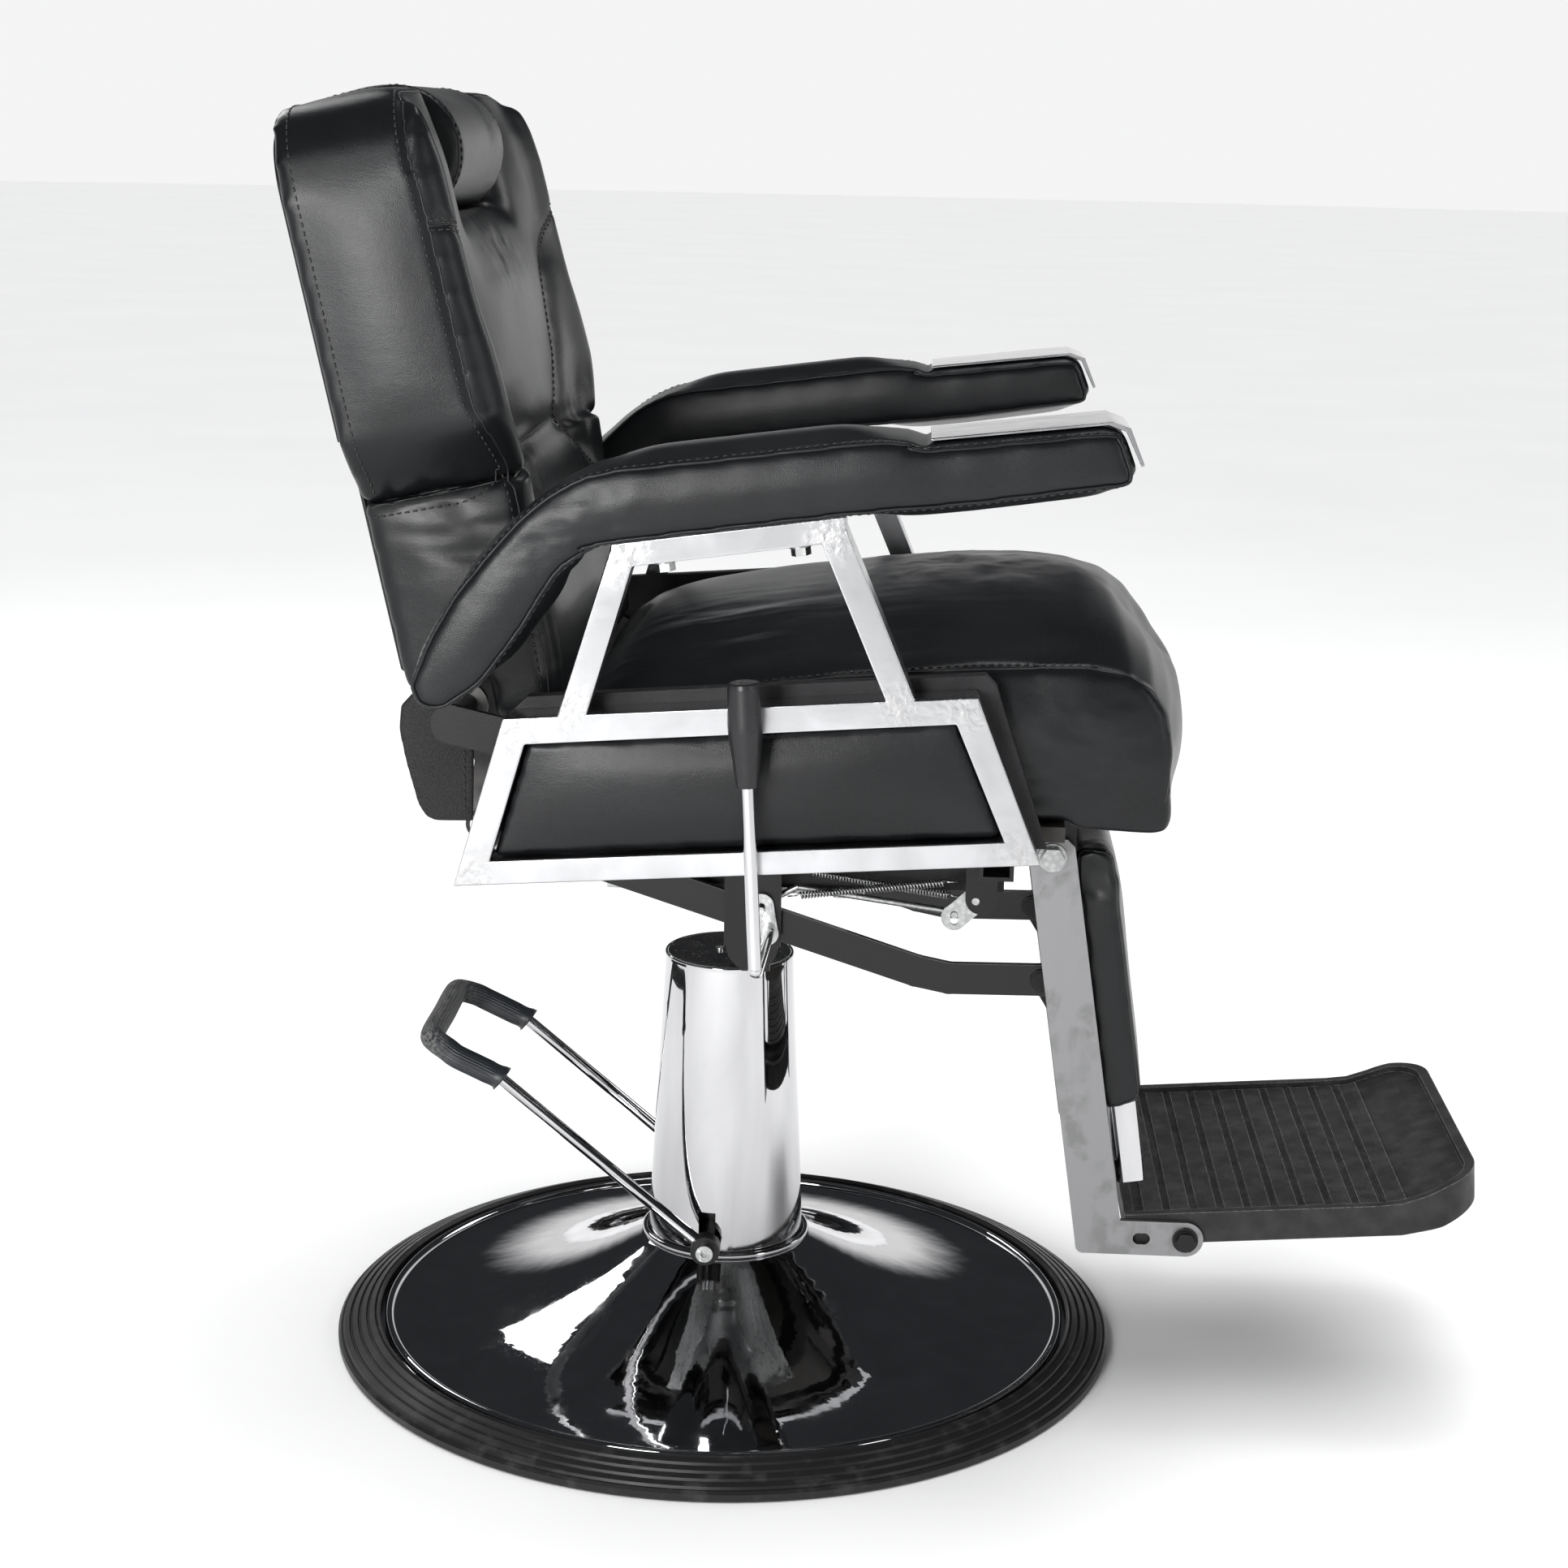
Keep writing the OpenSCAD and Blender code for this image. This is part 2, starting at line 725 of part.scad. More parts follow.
module back_cushion() {
    color([0.08, 0.08, 0.09]) back_frame() difference() {
        union() {
            front_slab(0, back_low_depth) intersection() {
                back_outline(0);
                translate([-300, -20]) square([600, back_waist + 20]);
            }
            front_slab(0, back_depth) intersection() {
                back_outline(0);
                translate([-300, back_waist]) square([600, 400]);
            }
        }
        front_slab(-1, pocket) {
            back_outline(-14 + skin_gap);
            translate([-200, -20]) square([400, 60]);
        }
        for (y = [-post_y, post_y]) translate([post_n, y, notch_s - 150])
            cylinder(r = post_r + 3 + skin_gap, h = 160);
    }
}

module back_skirt() {
    wall = 5;
    half_w = 212;
    outer = [[-219, 585], [-231, 572], [-233, 555], [-228, 530], [-219, 497], [-213, 488],
        [-206, 485], [-178, 486], [-176, 560], [-176, 573]];
    color([0.05, 0.05, 0.05]) difference() {
        side_slab(-half_w, half_w) polygon(outer);
        side_slab(-half_w + wall, half_w - wall) polygon([[-219, 590], [-226, 572], [-228, 555],
            [-223, 530], [-213, 498], [-206, 480], [-160, 480], [-160, 590]]);
        y_pin(back_pivot, -half_w - 1, half_w + 1, 9.5);
        // Cut back under the leaning cushion and round the board's tail
        back_frame() {
            translate([-4, -half_w - 1, -8.3]) cube([130, 2 * half_w + 2, 60]);
            translate([-skin_gap, -190 - skin_gap, -88 - skin_gap])
                cube([pocket, 380 + 2 * skin_gap, 100]);
        }
    }
}

module headrest_guides() {
    color("dimgray") back_frame() for (y = [-post_y, post_y]) difference() {
        translate([post_n, y, notch_s - 149]) cylinder(r = post_r + 3, h = 148);
        translate([post_n, y, notch_s - 150]) cylinder(r = post_r + run_gap, h = 150);
    }
}

module headrest_posts() {
    color("silver") back_frame() for (y = [-post_y, post_y])
        translate([post_n, y, notch_s - 140]) cylinder(r = post_r, h = 160);
}

module headrest() {
    half_w = notch_half_w - 4;
    color([0.08, 0.08, 0.09]) back_frame() difference() {
        side_slab(-half_w, half_w) {
            translate([58, notch_s + 52]) circle(r = 50);
            translate([10, notch_s + 6]) square([50, 96]);
        }
        for (y = [-post_y, post_y])
            translate([post_n, y, notch_s]) cylinder(r = post_r + run_gap, h = 20 + run_gap);
    }
}

// ---------- link bars ----------

link_route = [link_rear, [154, 350], [180, 345], link_front];

module link_bars() {
    color("black") for (y = [-link_bar_y, link_bar_y]) difference() {
        side_slab(y - link_bar_t / 2, y + link_bar_t / 2) strip(link_route, link_bar_h);
        y_pin(link_rear, y - 4, y + 4, link_pin_r + run_gap);
        y_pin(link_front, y - 4, y + 4, link_pin_r + link_open_gap);
    }
}

// Pan-head screws through the bars: the rear pair sits in the back arms, the front pair in the legs.
module link_screw(p, y) {
    y_pin(p, y - 3.4, y + 9, link_pin_r);
    y_pin(p, y - 5, y - 3.3, 9);
    y_pin(p, y - 7, y - 4.9, 7);
}

module link_pins() {
    color("silver") for (y = [-link_bar_y, link_bar_y]) link_screw(link_rear, y);
}

// ---------- leg rest ----------

module leg_plate(side) {
    corner = 6;
    color("gray") on_side(side) difference() {
        side_slab(-leg_in_y - leg_t, -leg_in_y) {
            polygon([[285, 145], [292, 139], [foot_pivot[0], 139], [foot_pivot[0], 167],
                [319, 167], [271, 466], [265, 472], [239, 472], [235, 466]]);
            translate(foot_pivot) circle(r = 14.1);
            translate([291.2, 145.2]) circle(r = 6.3);
        }
        y_pin(leg_pivot, -leg_in_y - leg_t - 1, -leg_in_y + 1, pivot_r + run_gap);
        y_pin(foot_pivot, -leg_in_y - leg_t - 1, -leg_in_y + 1, foot_bolt_r + run_gap);
        side_slab(-leg_in_y - leg_t - 1, -leg_in_y + 1) strip([[334, 152.5], [338, 152.5]], 9);
    }
}

module leg_plate_R() { leg_plate(0); }
module leg_plate_L() { leg_plate(1); }

top_bar = [253, 424];
mid_bar = [269.5, 318];
low_bar = [301, 186];

// Cross tubes between the leg plates, the lugs for the link bars and their screws.
module leg_crossbars() {
    tube_r = 9;
    inner = leg_in_y - run_gap;
    color("dimgray") {
        for (p = [top_bar, mid_bar, low_bar]) y_pin(p, -inner, inner, tube_r);
        for (y = [-link_bar_y + 3.3, link_bar_y + 3.3])
            side_slab(y, y + 6) strip([mid_bar, link_front], 17);
        for (y = [-link_bar_y, link_bar_y]) link_screw(link_front, y);
        for (s = [0, 1]) on_side(s) {
            out = leg_in_y + leg_t;
            y_pin(foot_pivot, -out - 1, -leg_in_y + 11, foot_bolt_r);
            y_pin(foot_pivot, -out - 2, -out - 0.2, 10);
            y_hex(foot_pivot, -out - 8, -out - 2, 8);
        }
    }
}

calf_half_w = 142;
calf_h = 212;

module calf_board() {
    color("saddlebrown") calf_frame() translate([-10, -128, 8]) cube([9.7, 256, 188]);
}

module calf_pad() {
    depth = 36;
    color([0.08, 0.08, 0.09]) calf_frame() side_slab(-calf_half_w, calf_half_w) {
        translate([0, 14]) square([depth, calf_h - 28]);
        translate([0, 0]) square([depth - 14, calf_h]);
        translate([depth - 14, 14]) circle(r = 14);
        translate([depth - 14, calf_h - 14]) circle(r = 14);
    }
}

module calf_posts() {
    post_len = 66;
    color("silver") calf_frame() for (y = [-118, 118]) translate([0, y, -post_len - 0.3]) {
        linear_extrude(post_len) {
            translate([13, 0]) circle(r = 6);
            translate([25, 0]) circle(r = 6);
            translate([13, -6]) square([12, 12]);
        }
    }
}

// Footrest: a cast tray with cross ribs, in its own frame at the foot pivot.
tray_x = [-46, 232];
tray_half_w = 149.5;
tray_corner = 46;
deck_z = 15;
rib_count = 10;

// Plan outline: square at the rear, round at the two front corners.
module tray_plan(inset) {
    x0 = tray_x[0] + inset;
    x1 = tray_x[1] - inset;
    w = tray_half_w - inset;
    r = tray_corner - inset;
    translate([x0, -w]) square([x1 - x0 - r, 2 * w]);
    translate([x1 - r - 1, -w + r]) square([r + 1, 2 * w - 2 * r]);
    for (s = [-1, 1]) translate([x1 - r, s * (w - r)]) circle(r = r);
}

// Side profile of the solid between its underside and a height above the deck.
module tray_side(drop, rise) {
    polygon([[tray_x[0] - 1, deck_z - drop], [168, deck_z - drop], [200, deck_z + 5 - drop],
        [tray_x[1] + 1, deck_z + 16 - drop], [tray_x[1] + 1, deck_z + 19 + rise],
        [205, deck_z + 13 + rise], [186, deck_z + 6 + rise], [168, deck_z + 1 + rise],
        [150, deck_z + rise], [tray_x[0] - 1, deck_z + rise]]);
}

module footrest() {
    rib_pitch = 21;
    skirt_t = 8;
    color([0.12, 0.12, 0.12])
        translate([foot_pivot[0], 0, foot_pivot[1]]) rotate([0, -tray_tilt, 0]) difference() {
            union() {
                // Deck
                intersection() {
                    translate([0, 0, -20]) linear_extrude(90) tray_plan(2);
                    side_slab(-160, 160) tray_side(6, 0);
                }
                // Raised rim and skirt
                intersection() {
                    translate([0, 0, -20]) linear_extrude(90) difference() {
                        tray_plan(0);
                        tray_plan(skirt_t);
                    }
                    side_slab(-160, 160) tray_side(20, 5);
                }
                // Ribs across the deck
                intersection() {
                    for (i = [0 : rib_count - 1])
                        translate([-30 + i * rib_pitch, -tray_half_w + 14, 0])
                            cube([15, 2 * tray_half_w - 28, 60]);
                    translate([0, 0, -20]) linear_extrude(90) tray_plan(14);
                    side_slab(-160, 160) tray_side(4, 2.5);
                }
                // Pivot bosses
                for (s = [0, 1]) on_side(s) y_pin([0, 0], -tray_half_w, -tray_half_w + 14, 12);
            }
            for (s = [0, 1]) on_side(s)
                y_pin([0, 0], -tray_half_w - 1, -tray_half_w + 15, foot_bolt_r + run_gap);
        }
}

base_plate();
base_dome();
base_ring();
neck_collar();
pump_cover();
cap_rim();
pump_cap();
cap_screw();
pump_body();
pump_bolts();
ram();
thrust_collar();
pedal_axle();
pedal_hubs();
pedal_bar();
pedal_grip();
pedal_bolts();
swivel_hub();
mounting_plate();
mounting_bolts();
seat_subframe();
seat_board();
seat_cushion();
side_frame_R();
side_frame_L();
side_board_R();
side_board_L();
side_panel_R();
side_panel_L();
arm_pad_R();
arm_pad_L();
arm_trim_R();
arm_trim_L();
arm_bolts();
back_hinge_brackets();
lever_bracket();
cam_bracket();
return_springs();
leg_pivot_bolts();
lever_rod();
lever_plate();
lever_grip();
release_rod();
lock_cam();
back_board();
back_arms();
back_cushion();
back_skirt();
headrest_guides();
headrest_posts();
headrest();
link_bars();
link_pins();
leg_plate_R();
leg_plate_L();
leg_crossbars();
calf_board();
calf_pad();
calf_posts();
footrest();
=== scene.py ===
# Looks of the hydraulic barber chair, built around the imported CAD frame.
# Metres, with +Z up and +X towards the chair's front.
import json
import math

import bmesh
import bpy
import numpy as np
from mathutils import Matrix, Vector, noise
from mathutils.bvhtree import BVHTree
from mathutils.kdtree import KDTree


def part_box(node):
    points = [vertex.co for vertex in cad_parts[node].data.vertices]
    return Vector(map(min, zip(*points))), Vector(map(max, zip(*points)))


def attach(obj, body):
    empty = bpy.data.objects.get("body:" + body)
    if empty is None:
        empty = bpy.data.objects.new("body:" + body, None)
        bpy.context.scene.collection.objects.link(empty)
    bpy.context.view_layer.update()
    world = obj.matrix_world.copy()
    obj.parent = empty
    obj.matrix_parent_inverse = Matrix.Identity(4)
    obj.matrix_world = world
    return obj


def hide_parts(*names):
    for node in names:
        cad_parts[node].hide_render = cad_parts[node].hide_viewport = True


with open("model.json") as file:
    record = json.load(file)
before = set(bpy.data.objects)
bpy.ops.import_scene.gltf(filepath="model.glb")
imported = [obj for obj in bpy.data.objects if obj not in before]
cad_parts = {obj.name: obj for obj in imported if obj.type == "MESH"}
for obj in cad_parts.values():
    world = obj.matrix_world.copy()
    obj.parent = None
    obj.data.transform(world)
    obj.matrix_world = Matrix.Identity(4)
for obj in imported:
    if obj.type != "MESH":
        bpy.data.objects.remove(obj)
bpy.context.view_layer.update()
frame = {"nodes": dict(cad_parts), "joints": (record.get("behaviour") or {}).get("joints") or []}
MM = 0.001


# ---------- camera, lights and floor ----------

def look_at(obj, target):
    """Turns a light so that it faces the target."""
    obj.rotation_mode = "QUATERNION"
    obj.rotation_quaternion = (Vector(target) - obj.location).to_track_quat("-Z", "Y")


def make_camera():
    """A camera off the chair's right side, about as high as its back, tilted down and slightly rolled."""
    yaw, pitch, roll = math.radians(2.762), math.radians(13.393), math.radians(1.149)
    ahead = Vector((-math.sin(yaw) * math.cos(pitch), math.cos(yaw) * math.cos(pitch), -math.sin(pitch)))
    level = Vector((math.cos(yaw), math.sin(yaw), 0))
    upright = level.cross(ahead)
    right = level * math.cos(roll) + upright * math.sin(roll)
    up = upright * math.cos(roll) - level * math.sin(roll)
    place = Vector((0.1476, -2.1859, 0.9925))
    data = bpy.data.cameras.new("camera")
    data.lens, data.sensor_width = 63.47, 36
    camera = bpy.data.objects.new("camera", data)
    turn = Matrix((right, up, -ahead)).transposed()
    camera.matrix_world = Matrix.Translation(place) @ turn.to_4x4()
    bpy.context.scene.collection.objects.link(camera)
    bpy.context.scene.camera = camera


def softbox(name, place, target, width, height, watts):
    """A soft rectangular light that lights the chair but doesn't show behind it."""
    data = bpy.data.lights.new(name, "AREA")
    data.shape, data.size, data.size_y, data.energy = "RECTANGLE", width, height, watts
    light = bpy.data.objects.new(name, data)
    light.location = place
    look_at(light, target)
    light.visible_camera = False
    bpy.context.scene.collection.objects.link(light)


def make_lights():
    softbox("overhead", (0.5, 0.5, 3.2), (0.1, 0, 0.5), 1.1, 0.8, 15)
    softbox("key_left", (-1.6, -3.2, 2.6), (-0.2, -0.2, 0.8), 1.0, 0.8, 22)
    softbox("band_left", (-1.0, -3.2, 1.02), (-0.25, -0.26, 0.85), 0.95, 0.72, 66)
    softbox("fill_right", (3.0, -2.2, 1.4), (0.2, 0, 0.6), 0.6, 1.5, 11)
    softbox("rim_back", (-1.8, 2.6, 2.4), (0, 0, 0.8), 1.0, 0.8, 15)
    softbox("front_right", (2.6, 1.6, 2.0), (0, 0, 0.7), 1.0, 1.2, 19)
    data = bpy.data.lights.new("floor_wash", "SUN")
    data.energy, data.angle = 2.75, math.radians(80)
    wash = bpy.data.objects.new("floor_wash", data)
    wash.visible_glossy = False
    bpy.context.scene.collection.objects.link(wash)


def make_world():
    """Pale round the horizon like a studio wall, dark overhead."""
    world = bpy.data.worlds.new("studio")
    bpy.context.scene.world = world
    world.use_nodes = True
    tree = world.node_tree
    nodes = {kind: tree.nodes.new("ShaderNode" + kind) for kind in ("TexCoord", "SeparateXYZ", "ValToRGB")}
    ramp = nodes["ValToRGB"].color_ramp
    ramp.interpolation = "EASE"
    wall, ceiling = (0.91, 0.91, 0.912, 1), (0.03, 0.032, 0.035, 1)
    ramp.elements[0].position, ramp.elements[0].color = 0.055, wall
    ramp.elements[1].position, ramp.elements[1].color = 0.26, ceiling
    tree.links.new(nodes["TexCoord"].outputs["Generated"], nodes["SeparateXYZ"].inputs[0])
    tree.links.new(nodes["SeparateXYZ"].outputs["Z"], nodes["ValToRGB"].inputs["Fac"])
    tree.links.new(nodes["ValToRGB"].outputs["Color"], tree.nodes["Background"].inputs["Color"])


def make_floor():
    """A wide pale floor."""
    reach = 40.0
    ring = [(reach * math.cos(a), reach * math.sin(a), 0) for a in angles(96)]
    floor = mesh_object("studio_floor", ring, [list(range(len(ring)))])
    floor.data.materials.append(floor_material())


# ---------- mesh helpers ----------

def angles(count):
    """Equal steps once round a circle."""
    return [2 * math.pi * k / count for k in range(count)]


def mesh_object(name, verts, faces):
    mesh = bpy.data.meshes.new(name)
    mesh.from_pydata([tuple(v) for v in verts], [], faces)
    mesh.validate()
    obj = bpy.data.objects.new(name, mesh)
    bpy.context.scene.collection.objects.link(obj)
    return obj


def smooth(obj):
    obj.data.polygons.foreach_set("use_smooth", [True] * len(obj.data.polygons))
    obj.data.update()


def bake_modifiers(obj):
    """Replaces the mesh by what its modifiers make of it."""
    seen = obj.evaluated_get(bpy.context.evaluated_depsgraph_get())
    made, old = bpy.data.meshes.new_from_object(seen), obj.data
    obj.modifiers.clear()
    obj.data = made
    bpy.data.meshes.remove(old)


def modify(obj, kind, **settings):
    modifier = obj.modifiers.new(kind.lower(), kind)
    for key, value in settings.items():
        setattr(modifier, key, value)
    bake_modifiers(obj)


def points_of(obj):
    co = np.zeros(len(obj.data.vertices) * 3)
    obj.data.vertices.foreach_get("co", co)
    return co.reshape(-1, 3)


def normals_of(obj):
    out = np.zeros(len(obj.data.vertices) * 3)
    obj.data.vertices.foreach_get("normal", out)
    return out.reshape(-1, 3)


def set_points(obj, co):
    obj.data.vertices.foreach_set("co", np.asarray(co, float).ravel())
    obj.data.update()


def blend_step(x, low, high):
    """0 below low, 1 above high, smooth between."""
    t = np.clip((np.asarray(x, float) - low) / (high - low), 0, 1)
    return t * t * (3 - 2 * t)


def side_outline(node, y):
    """The ordered outline, as (x, z), of a CAD node's flat side at that y."""
    bm = bmesh.new()
    bm.from_mesh(frame["nodes"][node].data)
    bmesh.ops.remove_doubles(bm, verts=bm.verts, dist=1e-5)
    flat = {f for f in bm.faces if all(abs(v.co.y - y) < 1e-4 for v in f.verts)}
    step = {}
    for f in flat:
        for loop in f.loops:
            if sum(g in flat for g in loop.edge.link_faces) == 1:
                step[loop.vert] = loop.link_loop_next.vert
    start = min(step, key=lambda v: (v.co.x, v.co.z))
    outline, at = [start], step[start]
    while at is not start:
        outline.append(at)
        at = step[at]
    points = [(v.co.x, v.co.z) for v in outline]
    bm.free()
    return points if area_of(points) > 0 else points[::-1]


def area_of(outline):
    pairs = zip(outline, outline[1:] + outline[:1])
    return sum(a[0] * b[1] - b[0] * a[1] for a, b in pairs) / 2


def inset(outline, gap):
    """A counter-clockwise outline moved inwards by gap."""
    moved, count = [], len(outline)
    for i, (x, z) in enumerate(outline):
        a, b = Vector(outline[i - 1]), Vector(outline[(i + 1) % count])
        here = Vector((x, z))
        first, second = (here - a).normalized(), (b - here).normalized()
        inward = Vector((-first.y - second.y, first.x + second.x)).normalized()
        spread = max(0.35, inward.dot(Vector((-first.y, first.x))))
        moved.append(tuple(here + inward * (gap / spread)))
    return moved


def prism(name, outline, low, high, place):
    """A closed block with that outline, between two depths; place turns (a, b, depth) into a point."""
    count = len(outline)
    verts = [place(a, b, depth) for depth in (low, high) for a, b in outline]
    faces = [list(range(count))[::-1], list(range(count, 2 * count))]
    faces += [(i, (i + 1) % count, count + (i + 1) % count, count + i) for i in range(count)]
    return mesh_object(name, verts, faces)


def pillow_blank(name, node, gap, voxel):
    """An evenly meshed blank a little inside a CAD soft solid that runs straight across the chair."""
    low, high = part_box(node)
    outline = inset(side_outline(node, high.y), gap)
    obj = prism(name, outline, low.y + gap, high.y - gap, lambda x, z, y: (x, y, z))
    even_mesh(obj, voxel)
    return obj, outline


def loops_round(outline, depths):
    """Closed lines round a blank's outline, at each of those depths across the chair."""
    return [spline([(x, y, z) for x, z in outline], 0.003, True) for y in depths]


def united(blocks):
    """The first block, with the others added to it."""
    for block in blocks[1:]:
        modify(blocks[0], "BOOLEAN", operation="UNION", object=block)
        bpy.data.objects.remove(block)
    return blocks[0]


def even_mesh(obj, voxel):
    """Evenly spaced quads over the same shape, with edges a little softened."""
    shape = bpy.data.objects.new("shape", obj.data.copy())
    bpy.context.scene.collection.objects.link(shape)
    modify(obj, "REMESH", mode="VOXEL", voxel_size=voxel)
    modify(obj, "SMOOTH", factor=0.5, iterations=6)
    modify(obj, "SHRINKWRAP", target=shape)
    modify(obj, "SMOOTH", factor=0.5, iterations=2)
    bpy.data.objects.remove(shape)


def spline(points, step=0.002, closed=False):
    """Evenly spaced points on a smooth curve through the given ones."""
    pts = [Vector(p) for p in points]
    count, between = len(pts), 12
    dense = []
    for i in range(count if closed else count - 1):
        p1, p2 = pts[i], pts[(i + 1) % count]
        p0 = pts[i - 1] if closed or i else p1 * 2 - p2
        p3 = pts[(i + 2) % count] if closed or i + 2 < count else p2 * 2 - p1
        for k in range(between):
            t = k / between
            dense.append(0.5 * ((2 * p1) + (p2 - p0) * t + (2 * p0 - 5 * p1 + 4 * p2 - p3) * t * t
                                + (3 * p1 - p0 - 3 * p2 + p3) * t ** 3))
    dense.append(pts[0] if closed else pts[-1])
    return even(dense, step)


def even(points, step):
    """The same line with points a step apart."""
    co = np.array([tuple(p) for p in points])
    run = np.concatenate([[0], np.cumsum(np.linalg.norm(np.diff(co, axis=0), axis=1))])
    count = max(2, int(round(run[-1] / step)) + 1)
    at = np.linspace(0, run[-1], count)
    return [Vector([np.interp(a, run, co[:, k]) for k in range(3)]) for a in at]


def distances(co, lines):
    """Distance of each point from the nearest point of the lines."""
    samples = [p for line in lines for p in line]
    tree = KDTree(len(samples))
    for i, p in enumerate(samples):
        tree.insert(p, i)
    tree.balance()
    return np.array([tree.find(p)[2] for p in co])


def tube(name, points, radius, sides=8, closed=False, shape=None):
    """A tube along points. shape(share, angle) scales the radius along it and round it."""
    pts = [Vector(p) for p in points]
    if closed:
        pts = pts[:-1]
    count = len(pts)
    tangent = [(pts[(i + 1) % count] - pts[i - 1]).normalized() if closed or 0 < i < count - 1
               else ((pts[1] - pts[0]) if i == 0 else (pts[-1] - pts[-2])).normalized() for i in range(count)]
    side = tangent[0].orthogonal().normalized()
    verts, faces = [], []
    for i, p in enumerate(pts):
        side = (side - tangent[i] * side.dot(tangent[i])).normalized()
        other = tangent[i].cross(side)
        for angle in angles(sides):
            size = radius * (shape(i / (count - 1), angle) if shape else 1)
            verts.append(p + (side * math.cos(angle) + other * math.sin(angle)) * size)
    for i in range(count if closed else count - 1):
        j = (i + 1) % count
        faces += [(i * sides + k, i * sides + (k + 1) % sides, j * sides + (k + 1) % sides, j * sides + k)
                  for k in range(sides)]
    if not closed:
        faces += [list(range(sides))[::-1], list(range((count - 1) * sides, count * sides))]
    obj = mesh_object(name, verts, faces)
    smooth(obj)
    return obj


# ---------- upholstery helpers ----------

def add_cloth(obj, pinned, pressure):
    """Thin, stiff cloth with pressure inside, held at the pinned points."""
    group = obj.vertex_groups.new(name="pinned")
    group.add([int(i) for i in np.flatnonzero(pinned)], 1.0, "REPLACE")
    cloth = obj.modifiers.new("cloth", "CLOTH")
    cloth.settings.quality = 3
    cloth.settings.mass = 0.3
    cloth.settings.tension_stiffness = 12
    cloth.settings.bending_stiffness = 1.5
    cloth.settings.use_pressure = True
    cloth.settings.uniform_pressure_force = pressure
    cloth.settings.effector_weights.gravity = 0
    cloth.settings.vertex_group_mass = "pinned"
    cloth.collision_settings.use_collision = False


def simulated_shift(obj, rest, pinned, pressure, cap):
    """How far a short cloth simulation moves each point.

    The shift it gives is small, so it is scaled up towards cap, then averaged over the mesh.
    """
    steps, most_gain, rounds = 20, 8.0, 10
    add_cloth(obj, pinned, pressure)
    for step in range(1, steps + 1):
        bpy.context.scene.frame_set(step)
    shift = points_of(obj.evaluated_get(bpy.context.evaluated_depsgraph_get())) - rest
    length = np.linalg.norm(shift, axis=1)
    gain = min(most_gain, cap / max(1e-6, np.percentile(length[~pinned], 90)))
    shift *= np.minimum(gain, cap / np.maximum(length, 1e-9))[:, None]
    shift = averaged(obj, shift, rounds, pinned)
    obj.modifiers.clear()
    obj.vertex_groups.clear()
    bpy.context.scene.frame_set(1)
    return shift


def puff(obj, pinned, pressure, cap):
    """Fills a blank out, then refines its mesh. Pinned points stay, and none moves more than cap."""
    rest = points_of(obj)
    shift = simulated_shift(obj, rest, pinned, pressure, cap)
    set_points(obj, rest + shift)
    modify(obj, "SUBSURF", levels=1)


def near_lines(obj, lines, reach):
    return distances(points_of(obj), lines) < reach


def averaged(obj, values, rounds, held=None):
    """Values spread over the mesh: each becomes its neighbourhood's mean. Held ones stay 0."""
    ends = np.zeros(len(obj.data.edges) * 2, int)
    obj.data.edges.foreach_get("vertices", ends)
    a, b = ends.reshape(-1, 2).T
    count = (1 + np.bincount(a, minlength=len(values)) + np.bincount(b, minlength=len(values)))[:, None]
    for _ in range(rounds):
        total = values.copy()
        np.add.at(total, a, values[b])
        np.add.at(total, b, values[a])
        values = total / count
        if held is not None:
            values[held] = 0
    return values


def soft_normals(obj):
    """Point normals averaged with their neighbours', so that creases don't scatter them."""
    out = averaged(obj, normals_of(obj), 6)
    return out / np.linalg.norm(out, axis=1)[:, None]


def press_seams(obj, lines, width, depth):
    """Pulls the cover in along sewn lines."""
    co = points_of(obj)
    dip = np.exp(-(distances(co, lines) / width) ** 2) * depth
    set_points(obj, co - soft_normals(obj) * dip[:, None])


def wrinkle(obj, centre, reach, height, scale, seed):
    """Soft uneven folds round a place, stretched as scale says."""
    co, out = points_of(obj), normals_of(obj)
    fall = np.exp(-((np.linalg.norm((co - np.array(centre)) / np.array(reach), axis=1)) ** 2))
    for i in np.flatnonzero(fall > 0.03):
        p = Vector(co[i] * np.array(scale)) + Vector((seed, 0, 0))
        co[i] += out[i] * (noise.fractal(p, 1.0, 2.0, 3) * height * fall[i])
    set_points(obj, co)


def on_surface(obj, line, lift=0.0):
    """The line's nearest points on a piece, lifted off it, with the surface's normals."""
    tree = BVHTree.FromObject(obj, bpy.context.evaluated_depsgraph_get())
    found = [tree.find_nearest(p) for p in line]
    return [f[0] + f[1] * lift for f in found], [f[1] for f in found]


